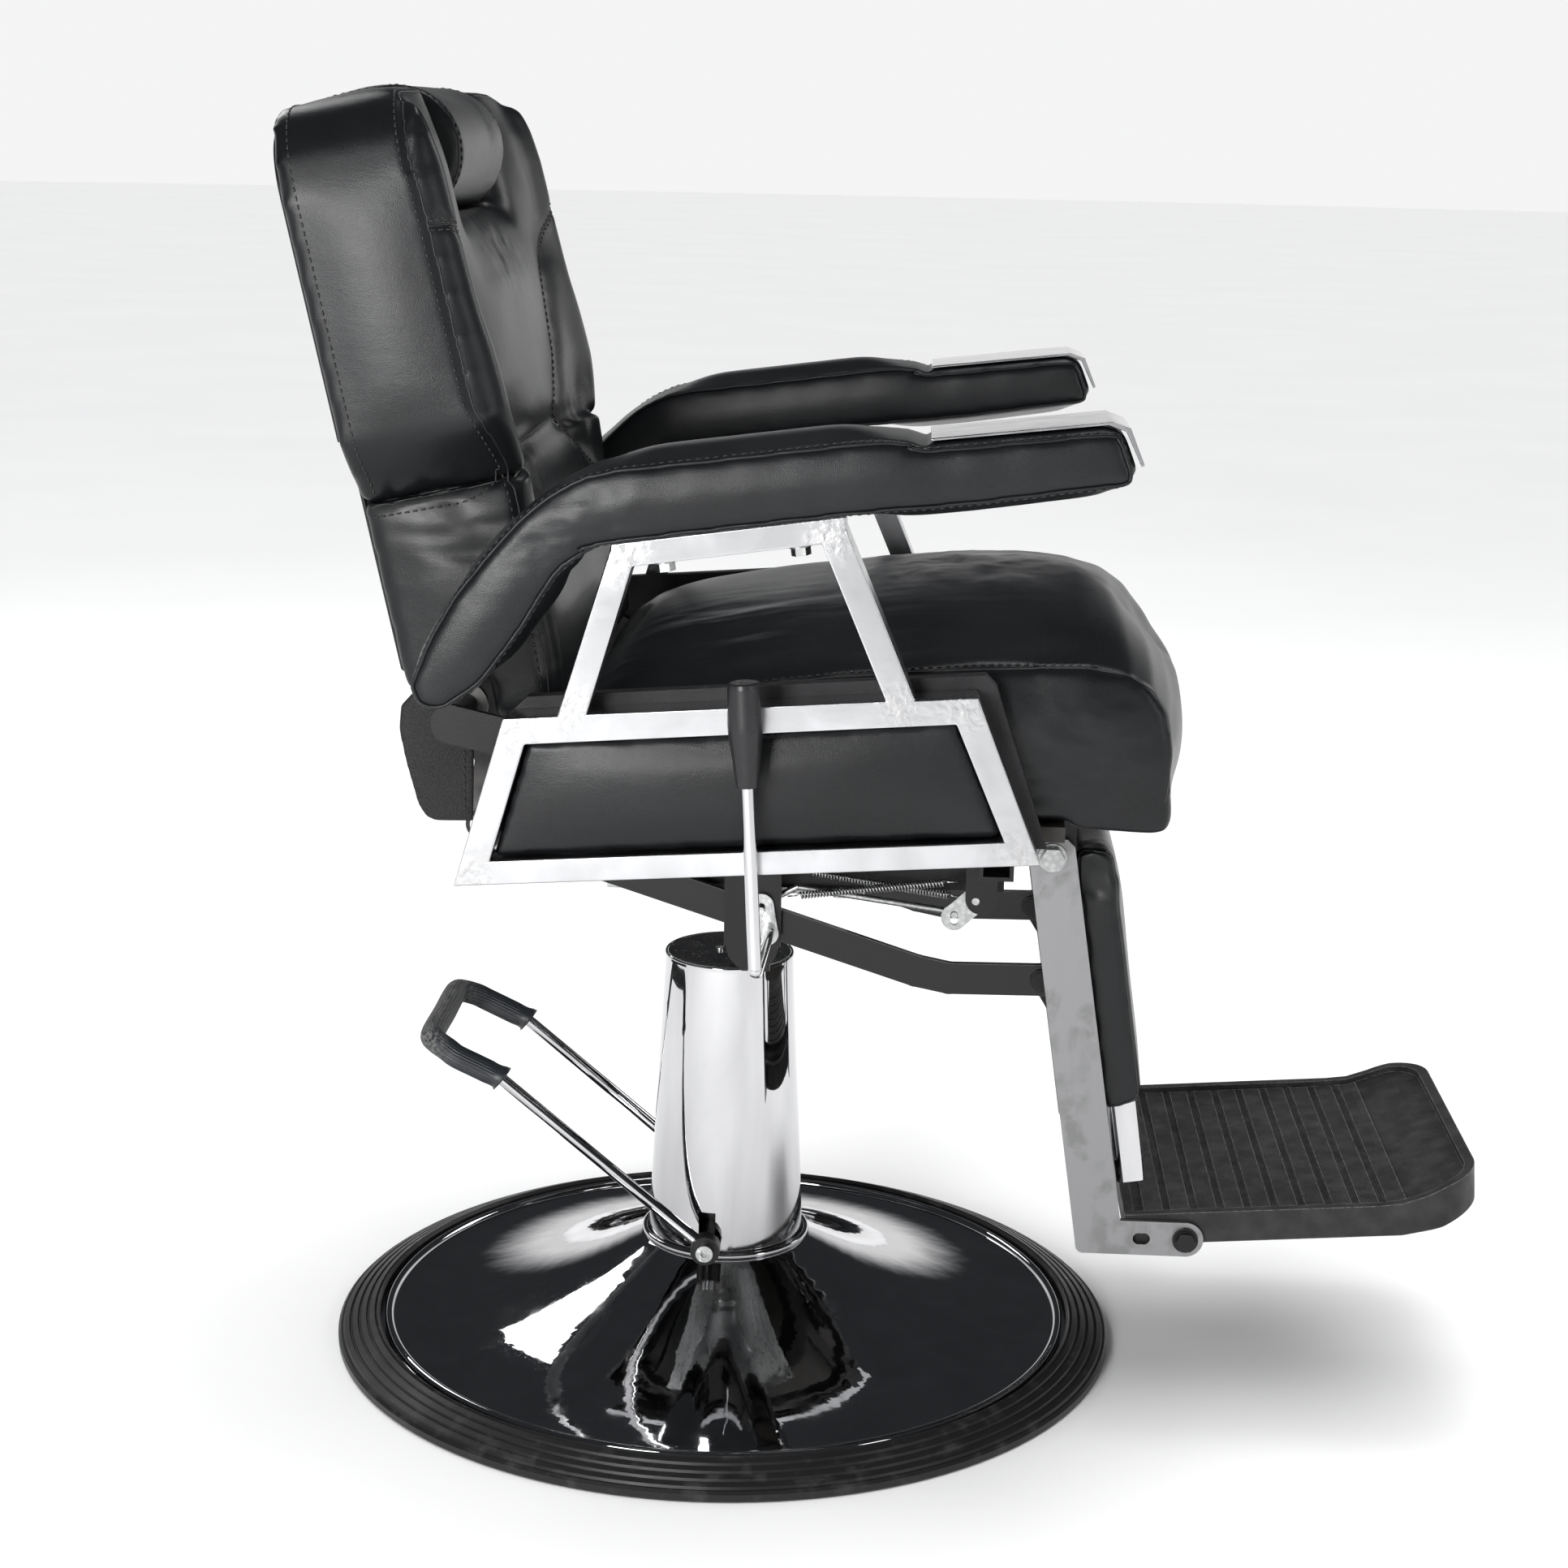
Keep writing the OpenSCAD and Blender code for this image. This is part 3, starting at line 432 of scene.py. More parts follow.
def sew(name, obj, lines, body):
    """Stitches as real thread: each dips into the cover at both ends."""
    pitch, length, radius = 6.2 * MM, 4.2 * MM, 0.7 * MM
    verts, faces, sides = [], [], 6
    # Rings of one stitch: share of its length, then size and height in thread radii
    shape = [(-0.5, 0.35, -0.9), (-0.36, 0.85, 0.1), (0, 1, 0.55), (0.36, 0.85, 0.1), (0.5, 0.35, -0.9)]
    for line in lines:
        at, out = on_surface(obj, even(line, pitch))
        for i in range(len(at) - 1):
            along = at[i + 1] - at[i]
            if along.length < 0.3 * pitch or along.length > 2 * pitch:
                continue
            along.normalize()
            across = along.cross(out[i]).normalized()
            up = across.cross(along)
            middle, first = (at[i] + at[i + 1]) / 2, len(verts)
            for share, size, lift in shape:
                centre = middle + along * (share * length) + up * (lift * radius)
                verts += [centre + (across * math.cos(a) + up * math.sin(a)) * (radius * size)
                          for a in angles(sides)]
            for r in range(len(shape) - 1):
                b = first + r * sides
                faces += [(b + k, b + (k + 1) % sides, b + sides + (k + 1) % sides, b + sides + k)
                          for k in range(sides)]
            faces.append([first + k for k in reversed(range(sides))])
            faces.append([first + (len(shape) - 1) * sides + k for k in range(sides)])
    return piece(mesh_object(name, verts, faces), THREAD, body)


def piece(obj, material, body, replaces=()):
    """Finishes a new piece: smooth shading, its material and body, and hides the CAD parts it replaces."""
    smooth(obj)
    obj.data.materials.clear()
    obj.data.materials.append(material)
    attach(obj, body)
    if replaces:
        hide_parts(*replaces)
    return obj


# ---------- materials ----------

class Shader:
    """One Principled material with small helpers for its procedural detail."""

    def __init__(self, name, color, roughness, metallic=0.0, specular=0.5):
        self.mat = bpy.data.materials.new(name)
        self.mat.use_nodes = True
        self.tree = self.mat.node_tree
        self.bsdf = self.tree.nodes["Principled BSDF"]
        self.set("Base Color", (*color, 1))
        self.set("Roughness", roughness)
        self.set("Metallic", metallic)
        self.set("Specular IOR Level", specular)
        self.place = self.add("ShaderNodeTexCoord").outputs["Object"]
        self.normal = None

    def set(self, name, value):
        self.feed(self.bsdf.inputs[name], value)

    def feed(self, socket, value):
        """Gives a socket a value, or links it to another node's output."""
        if isinstance(value, bpy.types.NodeSocket):
            self.tree.links.new(value, socket)
        else:
            socket.default_value = value

    def add(self, kind, inputs=None, **settings):
        """A new node with those settings and inputs."""
        node = self.tree.nodes.new(kind)
        for key, value in settings.items():
            setattr(node, key, value)
        for key, value in (inputs or {}).items():
            self.feed(node.inputs[key], value)
        return node

    def noise(self, scale, detail=3.0, stretch=None, distortion=0.0):
        place = self.place
        if stretch:
            place = self.add("ShaderNodeVectorMath", {0: place, 1: stretch}, operation="MULTIPLY").outputs[0]
        inputs = {"Vector": place, "Scale": scale, "Detail": detail, "Distortion": distortion}
        return self.add("ShaderNodeTexNoise", inputs).outputs["Fac"]

    def cells(self, scale, feature="F1"):
        inputs = {"Vector": self.place, "Scale": scale}
        return self.add("ShaderNodeTexVoronoi", inputs, feature=feature).outputs["Distance"]

    def span(self, value, low, high, to_low=0.0, to_high=1.0):
        inputs = {"Value": value, "From Min": low, "From Max": high, "To Min": to_low, "To Max": to_high}
        return self.add("ShaderNodeMapRange", inputs).outputs["Result"]

    def clouds(self, scale, detail, low, high, to_low=0.0, to_high=1.0):
        """Noise spread from low..high to to_low..to_high."""
        return self.span(self.noise(scale, detail), low, high, to_low, to_high)

    def math(self, operation, a, b):
        return self.add("ShaderNodeMath", {0: a, 1: b}, operation=operation).outputs[0]

    def times(self, a, b):
        return self.math("MULTIPLY", a, b)

    def plus(self, a, b):
        return self.math("ADD", a, b)

    def color(self, share, first, second):
        """Mixes two colours by share, straight into the base colour, and returns the mix."""
        ends = [(*c, 1) if isinstance(c, tuple) else c for c in (first, second)]
        inputs = {"Factor": share, 6: ends[0], 7: ends[1]}
        mix = self.add("ShaderNodeMix", inputs, data_type="RGBA").outputs[2]
        self.set("Base Color", mix)
        return mix

    def rough(self, value):
        self.set("Roughness", value)

    def cloudy_rough(self, scale, detail, low, high):
        """Roughness that wanders between low and high."""
        self.rough(self.clouds(scale, detail, 0.3, 0.7, low, high))

    def bump(self, height, distance, strength):
        """Adds bump on top of what is there."""
        inputs = {"Strength": strength, "Distance": distance, "Height": height}
        if self.normal is not None:
            inputs["Normal"] = self.normal
        self.normal = self.add("ShaderNodeBump", inputs).outputs["Normal"]
        self.set("Normal", self.normal)

    def grain(self, scale, detail, distance, strength):
        """Bump from plain noise."""
        self.bump(self.noise(scale, detail), distance, strength)

    def edges(self, radius, low=0.02, high=0.25):
        """1 on edges, where a rounded normal differs from the true one: used for worn edges, and for the
        enamel's painted edge highlight.
        """
        rounded = self.add("ShaderNodeBevel", {"Radius": radius}, samples=6).outputs[0]
        plain = self.add("ShaderNodeNewGeometry").outputs["Normal"]
        dot = self.add("ShaderNodeVectorMath", {0: rounded, 1: plain}, operation="DOT_PRODUCT")
        return self.span(self.math("SUBTRACT", 1.0, dot.outputs["Value"]), low, high)

    def near(self, centres, radius, soft):
        """1 near any of the centres, falling to 0."""
        best = None
        for c in centres:
            away = self.add("ShaderNodeVectorMath", {0: self.place, 1: c}, operation="DISTANCE")
            share = self.span(away.outputs["Value"], radius, radius + soft, 1.0, 0.0)
            best = share if best is None else self.math("MAXIMUM", best, share)
        return best


def floor_material():
    s = Shader("floor_paint", (0.93, 0.93, 0.93), 0.9, specular=0.1)
    s.color(s.clouds(1.3, 3, 0.3, 0.7), (0.92, 0.92, 0.925), (0.945, 0.945, 0.945))
    s.grain(60, 4, 0.0006, 0.15)
    return s.mat


def leather_material():
    """Semi-gloss upholstery vinyl: fine pebbled grain, cloudy sheen and hair-fine creases."""
    dark, light = (0.0045, 0.005, 0.0056), (0.009, 0.0098, 0.011)
    s = Shader("leather_black", dark, 0.33, specular=0.30)
    cloud = s.noise(9, 4)
    s.color(s.span(cloud, 0.3, 0.72), dark, light)
    pebble = s.cells(820, "DISTANCE_TO_EDGE")
    crease = s.noise(60, 6, (1, 1, 2.6), 1.2)
    s.rough(s.plus(s.span(cloud, 0.25, 0.75, 0.25, 0.33), s.span(pebble, 0.0, 0.3, 0.05, 0.0)))
    s.bump(s.span(crease, 0.46, 0.5), 0.0002, 0.08)
    s.bump(s.noise(22, 3, (1, 1, 1.7)), 0.0020, 0.14)
    s.bump(pebble, 0.00020, 0.42)
    s.grain(2600, 2, 0.00005, 0.3)
    return s.mat


def coarse_vinyl_material():
    """Matt, coarsely grained vinyl of the skirt behind the seat."""
    s = Shader("vinyl_coarse", (0.016, 0.016, 0.016), 0.62, specular=0.25)
    s.color(s.clouds(900, 3, 0.35, 0.7), (0.010, 0.010, 0.0102), (0.03, 0.03, 0.031))
    s.cloudy_rough(14, 3, 0.55, 0.72)
    s.bump(s.cells(520), 0.0006, 0.55)
    s.grain(1500, 3, 0.0002, 0.5)
    return s.mat


def board_vinyl_material():
    s = Shader("vinyl_board", (0.014, 0.014, 0.015), 0.5, specular=0.3)
    s.color(s.clouds(30, 3, 0.35, 0.7), (0.010, 0.010, 0.011), (0.022, 0.022, 0.024))
    s.cloudy_rough(11, 3, 0.42, 0.56)
    s.bump(s.cells(700, "DISTANCE_TO_EDGE"), 0.0003, 0.5)
    return s.mat


def thread_material():
    s = Shader("thread_dark", (0.018, 0.018, 0.019), 0.4)
    s.bump(s.noise(4200, 1, (1, 1, 0.4)), 0.0002, 0.6)
    s.color(s.noise(300), (0.004, 0.004, 0.004), (0.03, 0.03, 0.032))
    return s.mat


def chrome_material(name="chrome_mirror", clean=(0.62, 0.62, 0.63), dull=(0.50, 0.50, 0.51)):
    """Mirror chrome: a trace of waviness, wipe marks and dust."""
    s = Shader(name, clean, 0.035, 1.0)
    wipe = s.noise(9, 5, (3.0, 3.0, 0.7), 0.6)
    s.color(s.span(wipe, 0.3, 0.75), clean, dull)
    dust = s.clouds(900, 2, 0.62, 0.75, 0.0, 0.12)
    s.rough(s.plus(s.span(wipe, 0.45, 0.8, 0.02, 0.10), dust))
    s.bump(s.noise(26, 2, (1.0, 1.0, 0.12)), 0.0016, 0.16)
    s.bump(s.noise(160, 2, (1.0, 1.0, 0.08)), 0.0001, 0.25)
    return s.mat


def aluminium_material(corners):
    """Polished tube with draw lines, faint handling marks and buffed weld corners."""
    s = Shader("aluminium_polished", (0.80, 0.80, 0.81), 0.22, 1.0)
    weld = s.times(s.near(corners, 0.006, 0.020), s.clouds(150, 4, 0.38, 0.62))
    cloud = s.noise(26, 3, None, 0.6)
    mix = s.color(s.span(cloud, 0.3, 0.75), (0.53, 0.535, 0.545), (0.43, 0.43, 0.44))
    s.color(s.times(weld, 0.35), mix, (0.34, 0.33, 0.31))
    s.rough(s.plus(s.span(cloud, 0.3, 0.75, 0.17, 0.27), s.times(weld, 0.12)))
    s.bump(s.noise(520, 3, (0.12, 1.0, 1.0)), 0.00008, 0.4)
    s.bump(s.times(s.noise(240, 4), weld), 0.0006, 0.5)
    return s.mat


def brushed_steel_material():
    """Satin plate with long brushing, and a few darker smudges."""
    s = Shader("steel_brushed", (0.42, 0.42, 0.42), 0.4, 1.0)
    smudge = s.times(s.span(s.noise(15, 4, (1.6, 1, 1), 0.8), 0.50, 0.62),
                    s.clouds(60, 5, 0.42, 0.55))
    s.color(s.times(smudge, 0.7), (0.27, 0.27, 0.275), (0.19, 0.19, 0.19))
    brush = s.noise(900, 3, (1.0, 1.0, 0.05))
    s.rough(s.plus(s.span(brush, 0.3, 0.7, 0.34, 0.42), s.times(smudge, 0.08)))
    s.bump(brush, 0.00010, 0.4)
    return s.mat


def zinc_material():
    s = Shader("zinc_plate", (0.6, 0.6, 0.58), 0.32, 1.0)
    spangle = s.cells(260)
    s.color(s.span(spangle, 0.1, 0.7), (0.50, 0.50, 0.485), (0.34, 0.35, 0.35))
    s.cloudy_rough(180, 4, 0.24, 0.42)
    s.grain(1100, 3, 0.00012, 0.5)
    return s.mat


def spring_material():
    s = Shader("spring_wire", (0.62, 0.62, 0.62), 0.26, 1.0)
    s.color(s.noise(140, 3), (0.5, 0.5, 0.5), (0.28, 0.28, 0.29))
    s.cloudy_rough(600, 3, 0.2, 0.36)
    return s.mat


def dark_steel_material():
    s = Shader("steel_dark", (0.10, 0.10, 0.10), 0.5, 0.8)
    s.color(s.clouds(40, 5, 0.35, 0.7), (0.07, 0.07, 0.072), (0.15, 0.145, 0.14))
    s.cloudy_rough(90, 4, 0.42, 0.6)
    s.grain(700, 3, 0.00015, 0.5)
    return s.mat


def black_paint_material():
    s = Shader("paint_black", (0.013, 0.013, 0.013), 0.38, specular=0.3)
    worn = s.times(s.edges(0.0007), s.clouds(160, 4, 0.5, 0.65))
    s.color(worn, (0.006, 0.006, 0.0065), (0.09, 0.09, 0.09))
    s.cloudy_rough(60, 4, 0.3, 0.48)
    s.grain(500, 2, 0.00025, 0.35)
    return s.mat


def link_gloss_material():
    """Gloss black enamel, with a painted highlight: every edge is coloured light grey to stand in for edges
    catching the light.
    """
    s = Shader("enamel_gloss", (0.006, 0.006, 0.006), 0.2, specular=0.3)
    # Painted highlight: this edge mask lightens all edges of the enamel.
    edge = s.edges(0.0006, 0.01, 0.12)
    s.color(s.times(edge, 0.8), (0.005, 0.005, 0.0055), (0.30, 0.30, 0.30))
    s.cloudy_rough(35, 4, 0.14, 0.28)
    s.grain(320, 2, 0.0002, 0.25)
    s.set("Coat Weight", 0.15)
    s.set("Coat Roughness", 0.08)
    return s.mat


def ring_rubber_material():
    s = Shader("rubber_ring", (0.013, 0.013, 0.013), 0.42, specular=0.35)
    dust = s.clouds(60, 6, 0.55, 0.75)
    s.color(dust, (0.011, 0.011, 0.0112), (0.035, 0.034, 0.033))
    s.rough(s.plus(s.clouds(16, 4, 0.3, 0.7, 0.33, 0.47), s.times(dust, 0.12)))
    s.grain(900, 3, 0.00015, 0.4)
    return s.mat


def grip_rubber_material():
    """Blue-black ribbed rubber, scuffed grey where feet push it."""
    s = Shader("rubber_grip", (0.02, 0.023, 0.027), 0.5)
    low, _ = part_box("pedal_grip")
    along = s.add("ShaderNodeSeparateXYZ", {0: s.place})
    worn = s.times(s.span(along.outputs["X"], low.x + 0.030, low.x + 0.012),
                  s.span(s.noise(420, 5, (1, 0.35, 1)), 0.40, 0.62))
    s.color(worn, (0.018, 0.021, 0.025), (0.15, 0.15, 0.145))
    s.rough(s.span(worn, 0, 1, 0.36, 0.75))
    s.grain(1300, 3, 0.0002, 0.5)
    return s.mat


def cap_material():
    s = Shader("cap_gloss", (0.02, 0.019, 0.018), 0.12)
    dust = s.clouds(420, 6, 0.58, 0.72)
    s.color(dust, (0.022, 0.021, 0.0205), (0.09, 0.085, 0.08))
    s.rough(s.plus(s.clouds(30, 4, 0.3, 0.7, 0.08, 0.2), s.times(dust, 0.2)))
    s.grain(200, 2, 0.00008, 0.3)
    s.set("Coat Weight", 0.5)
    s.set("Coat Roughness", 0.05)
    return s.mat


def grip_plastic_material():
    s = Shader("plastic_grip", (0.014, 0.014, 0.015), 0.34, specular=0.35)
    s.color(s.noise(50), (0.011, 0.011, 0.012), (0.022, 0.022, 0.024))
    s.cloudy_rough(120, 4, 0.26, 0.4)
    s.grain(1600, 2, 0.00012, 0.45)
    return s.mat


def cast_black_material():
    """Crinkle-coated casting, rubbed lighter along its ribs' edges."""
    s = Shader("cast_crinkle", (0.016, 0.016, 0.016), 0.5, specular=0.35)
    rub = s.times(s.edges(0.0016, 0.01, 0.2), s.clouds(300, 4, 0.3, 0.6))
    base = s.color(s.clouds(55, 5, 0.4, 0.7), (0.012, 0.012, 0.0122), (0.028, 0.0275, 0.027))
    s.color(rub, base, (0.17, 0.165, 0.155))
    s.cloudy_rough(80, 4, 0.4, 0.58)
    s.bump(s.noise(1150, 4, None, 0.8), 0.0007, 0.6)
    s.bump(s.cells(900), 0.0003, 0.35)
    return s.mat


def plywood_material():
    """Dark-stained board; its layers still show at the edges."""
    s = Shader("plywood_stained", (0.05, 0.04, 0.03), 0.6)
    s.color(s.noise(28, 5, (0.15, 1, 2.6), 1.0), (0.030, 0.025, 0.020), (0.012, 0.010, 0.008))
    s.cloudy_rough(60, 3, 0.52, 0.7)
    s.bump(s.noise(500, 4, (0.08, 1, 1)), 0.0003, 0.5)
    return s.mat


def frame_corners():
    """The welded corners of both side frames, from the boxes of the frame and its window panel."""
    low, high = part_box("side_frame_R")
    hole_low, hole_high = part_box("side_panel_R")
    rail_low, rail_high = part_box("arm_bolts")
    side_view = [
        (low.x + 0.012, low.z + 0.012), (high.x - 0.014, low.z + 0.036),
        (hole_high.x - 0.030, hole_high.z + 0.010), (hole_low.x + 0.016, hole_low.z + 0.096),
        (hole_low.x + 0.056, hole_low.z + 0.112), (hole_high.x - 0.073, hole_high.z + 0.014),
        (rail_low.x - 0.018, rail_low.z + 0.010), (rail_high.x + 0.014, rail_high.z + 0.008)]
    return [(x, side * low.y, z) for x, z in side_view for side in (1, -1)]


LEATHER = leather_material()
THREAD = thread_material()
TRIM_CHROME = chrome_material("chrome_trim", (0.50, 0.50, 0.51), (0.30, 0.30, 0.31))
MATERIALS = {
    "chrome": chrome_material(), "ring_rubber": ring_rubber_material(), "grip_rubber": grip_rubber_material(),
    "cap_black": cap_material(), "dark_steel": dark_steel_material(), "zinc": zinc_material(),
    "black_paint": black_paint_material(), "link_gloss": link_gloss_material(), "plywood": plywood_material(),
    "leather": LEATHER, "coarse_vinyl": coarse_vinyl_material(), "board_vinyl": board_vinyl_material(),
    "polished_aluminium": aluminium_material(frame_corners()), "spring_steel": spring_material(),
    "grip_plastic": grip_plastic_material(), "brushed_steel": brushed_steel_material(),
    "cast_black": cast_black_material(),
}


def round_edges(node, width):
    """A small bevel on the sharp edges of a CAD node."""
    obj = frame["nodes"][node]
    obj.modifiers.new("weld", "WELD").merge_threshold = 1e-5
    bevel = obj.modifiers.new("bevel", "BEVEL")
    bevel.width, bevel.segments, bevel.limit_method = width, 3, "ANGLE"
    bevel.angle_limit, bevel.use_clamp_overlap = math.radians(35), True
    obj.modifiers.new("weighted", "WEIGHTED_NORMAL").keep_sharp = False


def dress_cad():
    """Gives every CAD node the detailed material of its slot, and small bevels where plates show."""
    for obj in frame["nodes"].values():
        for slot in obj.material_slots:
            slot.material = MATERIALS[slot.material.name.split(".")[0]]
    single = {"link_bars": 0.5, "mounting_plate": 0.5, "seat_board": 0.8}
    paired = {"side_frame_": 1.2, "leg_plate_": 0.5, "side_board_": 1.0, "arm_trim_": 0.6}
    for tag in ("R", "L"):
        frame["nodes"]["arm_trim_" + tag].material_slots[0].material = TRIM_CHROME
        for node, width in paired.items():
            round_edges(node + tag, width * MM)
    for node, width in single.items():
        round_edges(node, width * MM)


# ---------- base ----------

def half_profile(node):
    """The closed outline, as (radius, z), of a turned CAD node cut along +X."""
    bm = bmesh.new()
    bm.from_mesh(frame["nodes"][node].data)
    bmesh.ops.remove_doubles(bm, verts=bm.verts, dist=1e-5)
    cut = {e for e in bm.edges if all(abs(v.co.y) < 1e-6 and v.co.x > 0 for v in e.verts)}
    start = min((v for e in cut for v in e.verts), key=lambda v: (v.co.x, v.co.z))
    outline, at, used = [(start.co.x, start.co.z)], start, set()
    while True:
        ahead = [e for e in at.link_edges if e in cut and e not in used]
        if not ahead:
            break
        used.add(ahead[0])
        at = ahead[0].other_vert(at)
        outline.append((at.co.x, at.co.z))
    bm.free()
    return outline[:-1] if outline[0] == outline[-1] else outline


def rounded_profile(outline):
    """The outline with smooth curves between its sharp corners."""
    pts = [Vector((x, 0, z)) for x, z in outline]
    count, sharp, step = len(pts), 0.6, 0.003
    corner = [i for i in range(count)
              if (pts[i] - pts[i - 1]).angle(pts[(i + 1) % count] - pts[i]) > sharp]
    made = []
    for k, first in enumerate(corner):
        last = corner[(k + 1) % len(corner)]
        run = [pts[(first + j) % count] for j in range((last - first) % count + 1)]
        made += [(p.x, p.z) for p in spline(run, step)[:-1]]
    return made


def lathe(name, profile):
    """A closed ring turned from an outline of (radius, z)."""
    turns, rows, verts, faces = 256, len(profile), [], []
    for angle in angles(turns):
        verts += [(r * math.cos(angle), r * math.sin(angle), z) for r, z in profile]
    for i in range(turns):
        j = (i + 1) % turns
        faces += [(i * rows + k, j * rows + k, j * rows + (k + 1) % rows, i * rows + (k + 1) % rows)
                  for k in range(rows)]
    obj = mesh_object(name, verts, faces)
    bm = bmesh.new()
    bm.from_mesh(obj.data)
    bmesh.ops.recalc_face_normals(bm, faces=bm.faces)
    bm.to_mesh(obj.data)
    bm.free()
    return obj


def make_dome():
    """The spun dome again, with a curve as smooth as a mirror needs."""
    dome = lathe("dome_mirror", rounded_profile(half_profile("base_dome")))
    piece(dome, MATERIALS["chrome"], "base", ["base_dome"])
    edge = dome.modifiers.new("split", "EDGE_SPLIT")
    edge.split_angle = math.radians(40)
    bake_modifiers(dome)


# ---------- seat ----------

def seat_edge(y):
    """The sewn edge of the seat's side panel, from the back along the top and down the front."""
    side_view = [(-92, 578), (-60, 589), (0, 602), (60, 610), (120, 616), (190, 621), (253, 624),
                 (292, 623), (318, 617), (331, 604), (335, 580), (335, 552), (330, 524)]
    return spline([(x * MM, y, z * MM) for x, z in side_view])


def crown_seat(seat, half, low, high):
    """Raises the seat's middle, brings its front forwards and tucks its lower sides in."""
    co = points_of(seat)
    across = np.abs(co[:, 1]) / half
    crown = 1 - across ** 2.4
    raised = blend_step(co[:, 2], low.z + 0.015, high.z - 0.055)
    ahead = blend_step(co[:, 0], high.x - 0.055, high.x - 0.008)
    off_foot = blend_step(co[:, 2], low.z + 0.002, low.z + 0.06)
    co[:, 2] += raised * (-0.014 + 0.024 * crown)
    co[:, 0] += ahead * off_foot * (-0.006 + 0.010 * crown)
    tuck = (1 - off_foot) * blend_step(across, 0.9, 1)
    co[:, 1] -= np.sign(co[:, 1]) * 0.006 * tuck
    set_points(seat, co)


def make_seat():
    low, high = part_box("seat_cushion")
    gap = 0.002
    half = high.y - gap
    seat, _ = pillow_blank("seat_leather", "seat_cushion", gap, 0.006)
    crown_seat(seat, half, low, high)
    edges = [seat_edge(side * half) for side in (-1, 1)]
    pinned = near_lines(seat, edges, 0.005) | (points_of(seat)[:, 2] < low.z + 0.012)
    puff(seat, pinned, 4.0, 0.012)
    press_seams(seat, edges, 0.0032, 0.0022)
    wrinkle(seat, (0.02, -0.16, 0.62), (0.14, 0.10, 0.05), 0.0022, (9, 34, 20), 3)
    wrinkle(seat, (0.18, 0.05, 0.65), (0.10, 0.12, 0.05), 0.0022, (30, 16, 20), 9)
    wrinkle(seat, (0.26, -0.25, 0.54), (0.05, 0.02, 0.05), 0.0035, (18, 20, 34), 5)
    piece(seat, LEATHER, "seat", ["seat_cushion"])
    unstitched = 70  # points of each edge down the front, left without thread
    above = [[p + Vector((0, -side * 0.004, 0.002)) for p in line[:-unstitched]]
             for line, side in zip(edges, (-1, 1))]
    sew("seat_stitching", seat, above, "seat")
    seam_cords("seat_seam", seat, edges, "seat")


def seam_cords(name, surface, lines, body):
    """A fine dark line where two panels meet, one piece for each line."""
    for i, line in enumerate(lines):
        at, _ = on_surface(surface, line)
        piece(tube(f"{name}_{i + 1}", at, 0.6 * MM, 6), THREAD, body)


# ---------- side panels ----------

def make_side_panels():
    for tag, side in (("R", -1), ("L", 1)):
        node = "side_panel_" + tag
        low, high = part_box(node)
        panel, outline = pillow_blank("side_leather_" + tag, node, 0.0005, 0.004)
        face = low.y if side < 0 else high.y
        rim = loops_round(outline, [face - side * 0.003])
        inside = np.abs(points_of(panel)[:, 1] - face) > 0.004
        puff(panel, near_lines(panel, rim, 0.0045) | inside, 4.0, 0.006)
        piece(panel, LEATHER, "seat", [node])


# ---------- arm pads ----------

def make_arm_pads():
    for tag, side in (("R", -1), ("L", 1)):
        node = "arm_pad_" + tag
        low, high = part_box(node)
        gap = 0.0035
        pad, outline = pillow_blank("arm_leather_" + tag, node, gap, 0.005)
        loops = loops_round(outline, (low.y + gap, high.y - gap))
        co = points_of(pad)
        trim_low, trim_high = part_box("arm_trim_" + tag)
        under_trim = (co[:, 0] > trim_low.x - 0.002) & (co[:, 2] > trim_low.z - 0.004)
        under_trim &= (co[:, 1] > trim_low.y) & (co[:, 1] < trim_high.y)
        inner = np.abs(co[:, 1] - (low.y + high.y) / 2) < 0.044
        resting = under_pad(co, outline) & inner
        co[under_trim] += soft_normals(pad)[under_trim] * (gap - 0.0004)
        set_points(pad, co)
        puff(pad, near_lines(pad, loops, 0.0045) | under_trim | resting, 4.5, 0.0085)
        press_seams(pad, loops, 0.003, 0.0016)
        wrinkle(pad, (-0.09, side * 0.34, 0.72), (0.05, 0.03, 0.05), 0.0016, (26, 20, 40), 7 + side)
        piece(pad, LEATHER, "seat", [node])
        for i, loop in enumerate(loops):
            at, _ = on_surface(pad, loop, 0.0006)
            piece(tube(f"arm_piping_{tag}{i + 1}", at, 1.5 * MM, 8, True), LEATHER, "seat")
        outer = loops[0] if side < 0 else loops[1]
        rows = [[p + Vector((0, -side * 0.0045, 0)) for p in outer]]
        sew("arm_stitching_" + tag, pad, rows, "seat")


def under_pad(co, outline):
    """True on the pad's underside, where it rests on the arm rail."""
    rail_rear, rail_front, step, skin = -0.08, 0.12, 0.01, 0.007
    ring = [Vector((x, 0, z)) for x, z in outline]
    rim = np.array([tuple(p) for p in even(ring + ring[:1], 0.004)])
    foot = np.full(len(co), -np.inf)
    for x in np.arange(rail_rear, rail_front, step):
        column = rim[np.abs(rim[:, 0] - x) < 0.006]
        if len(column):
            foot[np.abs(co[:, 0] - x) < 0.0055] = column[:, 2].min()
    return co[:, 2] < foot + skin


# ---------- back ----------

slide = next(j for j in frame["joints"] if j["name"] == "headrest_slide")
BACK_UP = Vector(slide["axis"]).normalized()
BACK_OUT = Vector((BACK_UP.z, 0, -BACK_UP.x))
BACK_FOOT = Vector((-0.226, 0, 0.594))
BACK_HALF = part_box("back_cushion")[1].y
BACK_LOW_HALF = 0.229
BACK_THICK = 0.112
BACK_LIP, BACK_WAIST, BACK_TOP, NOTCH_FOOT = -0.045, 0.150, 0.414, 0.3205
SHOULDER_IN, SHOULDER_RADIUS = 0.062, 0.060
NOTCH_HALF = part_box("headrest")[1].y + 0.004


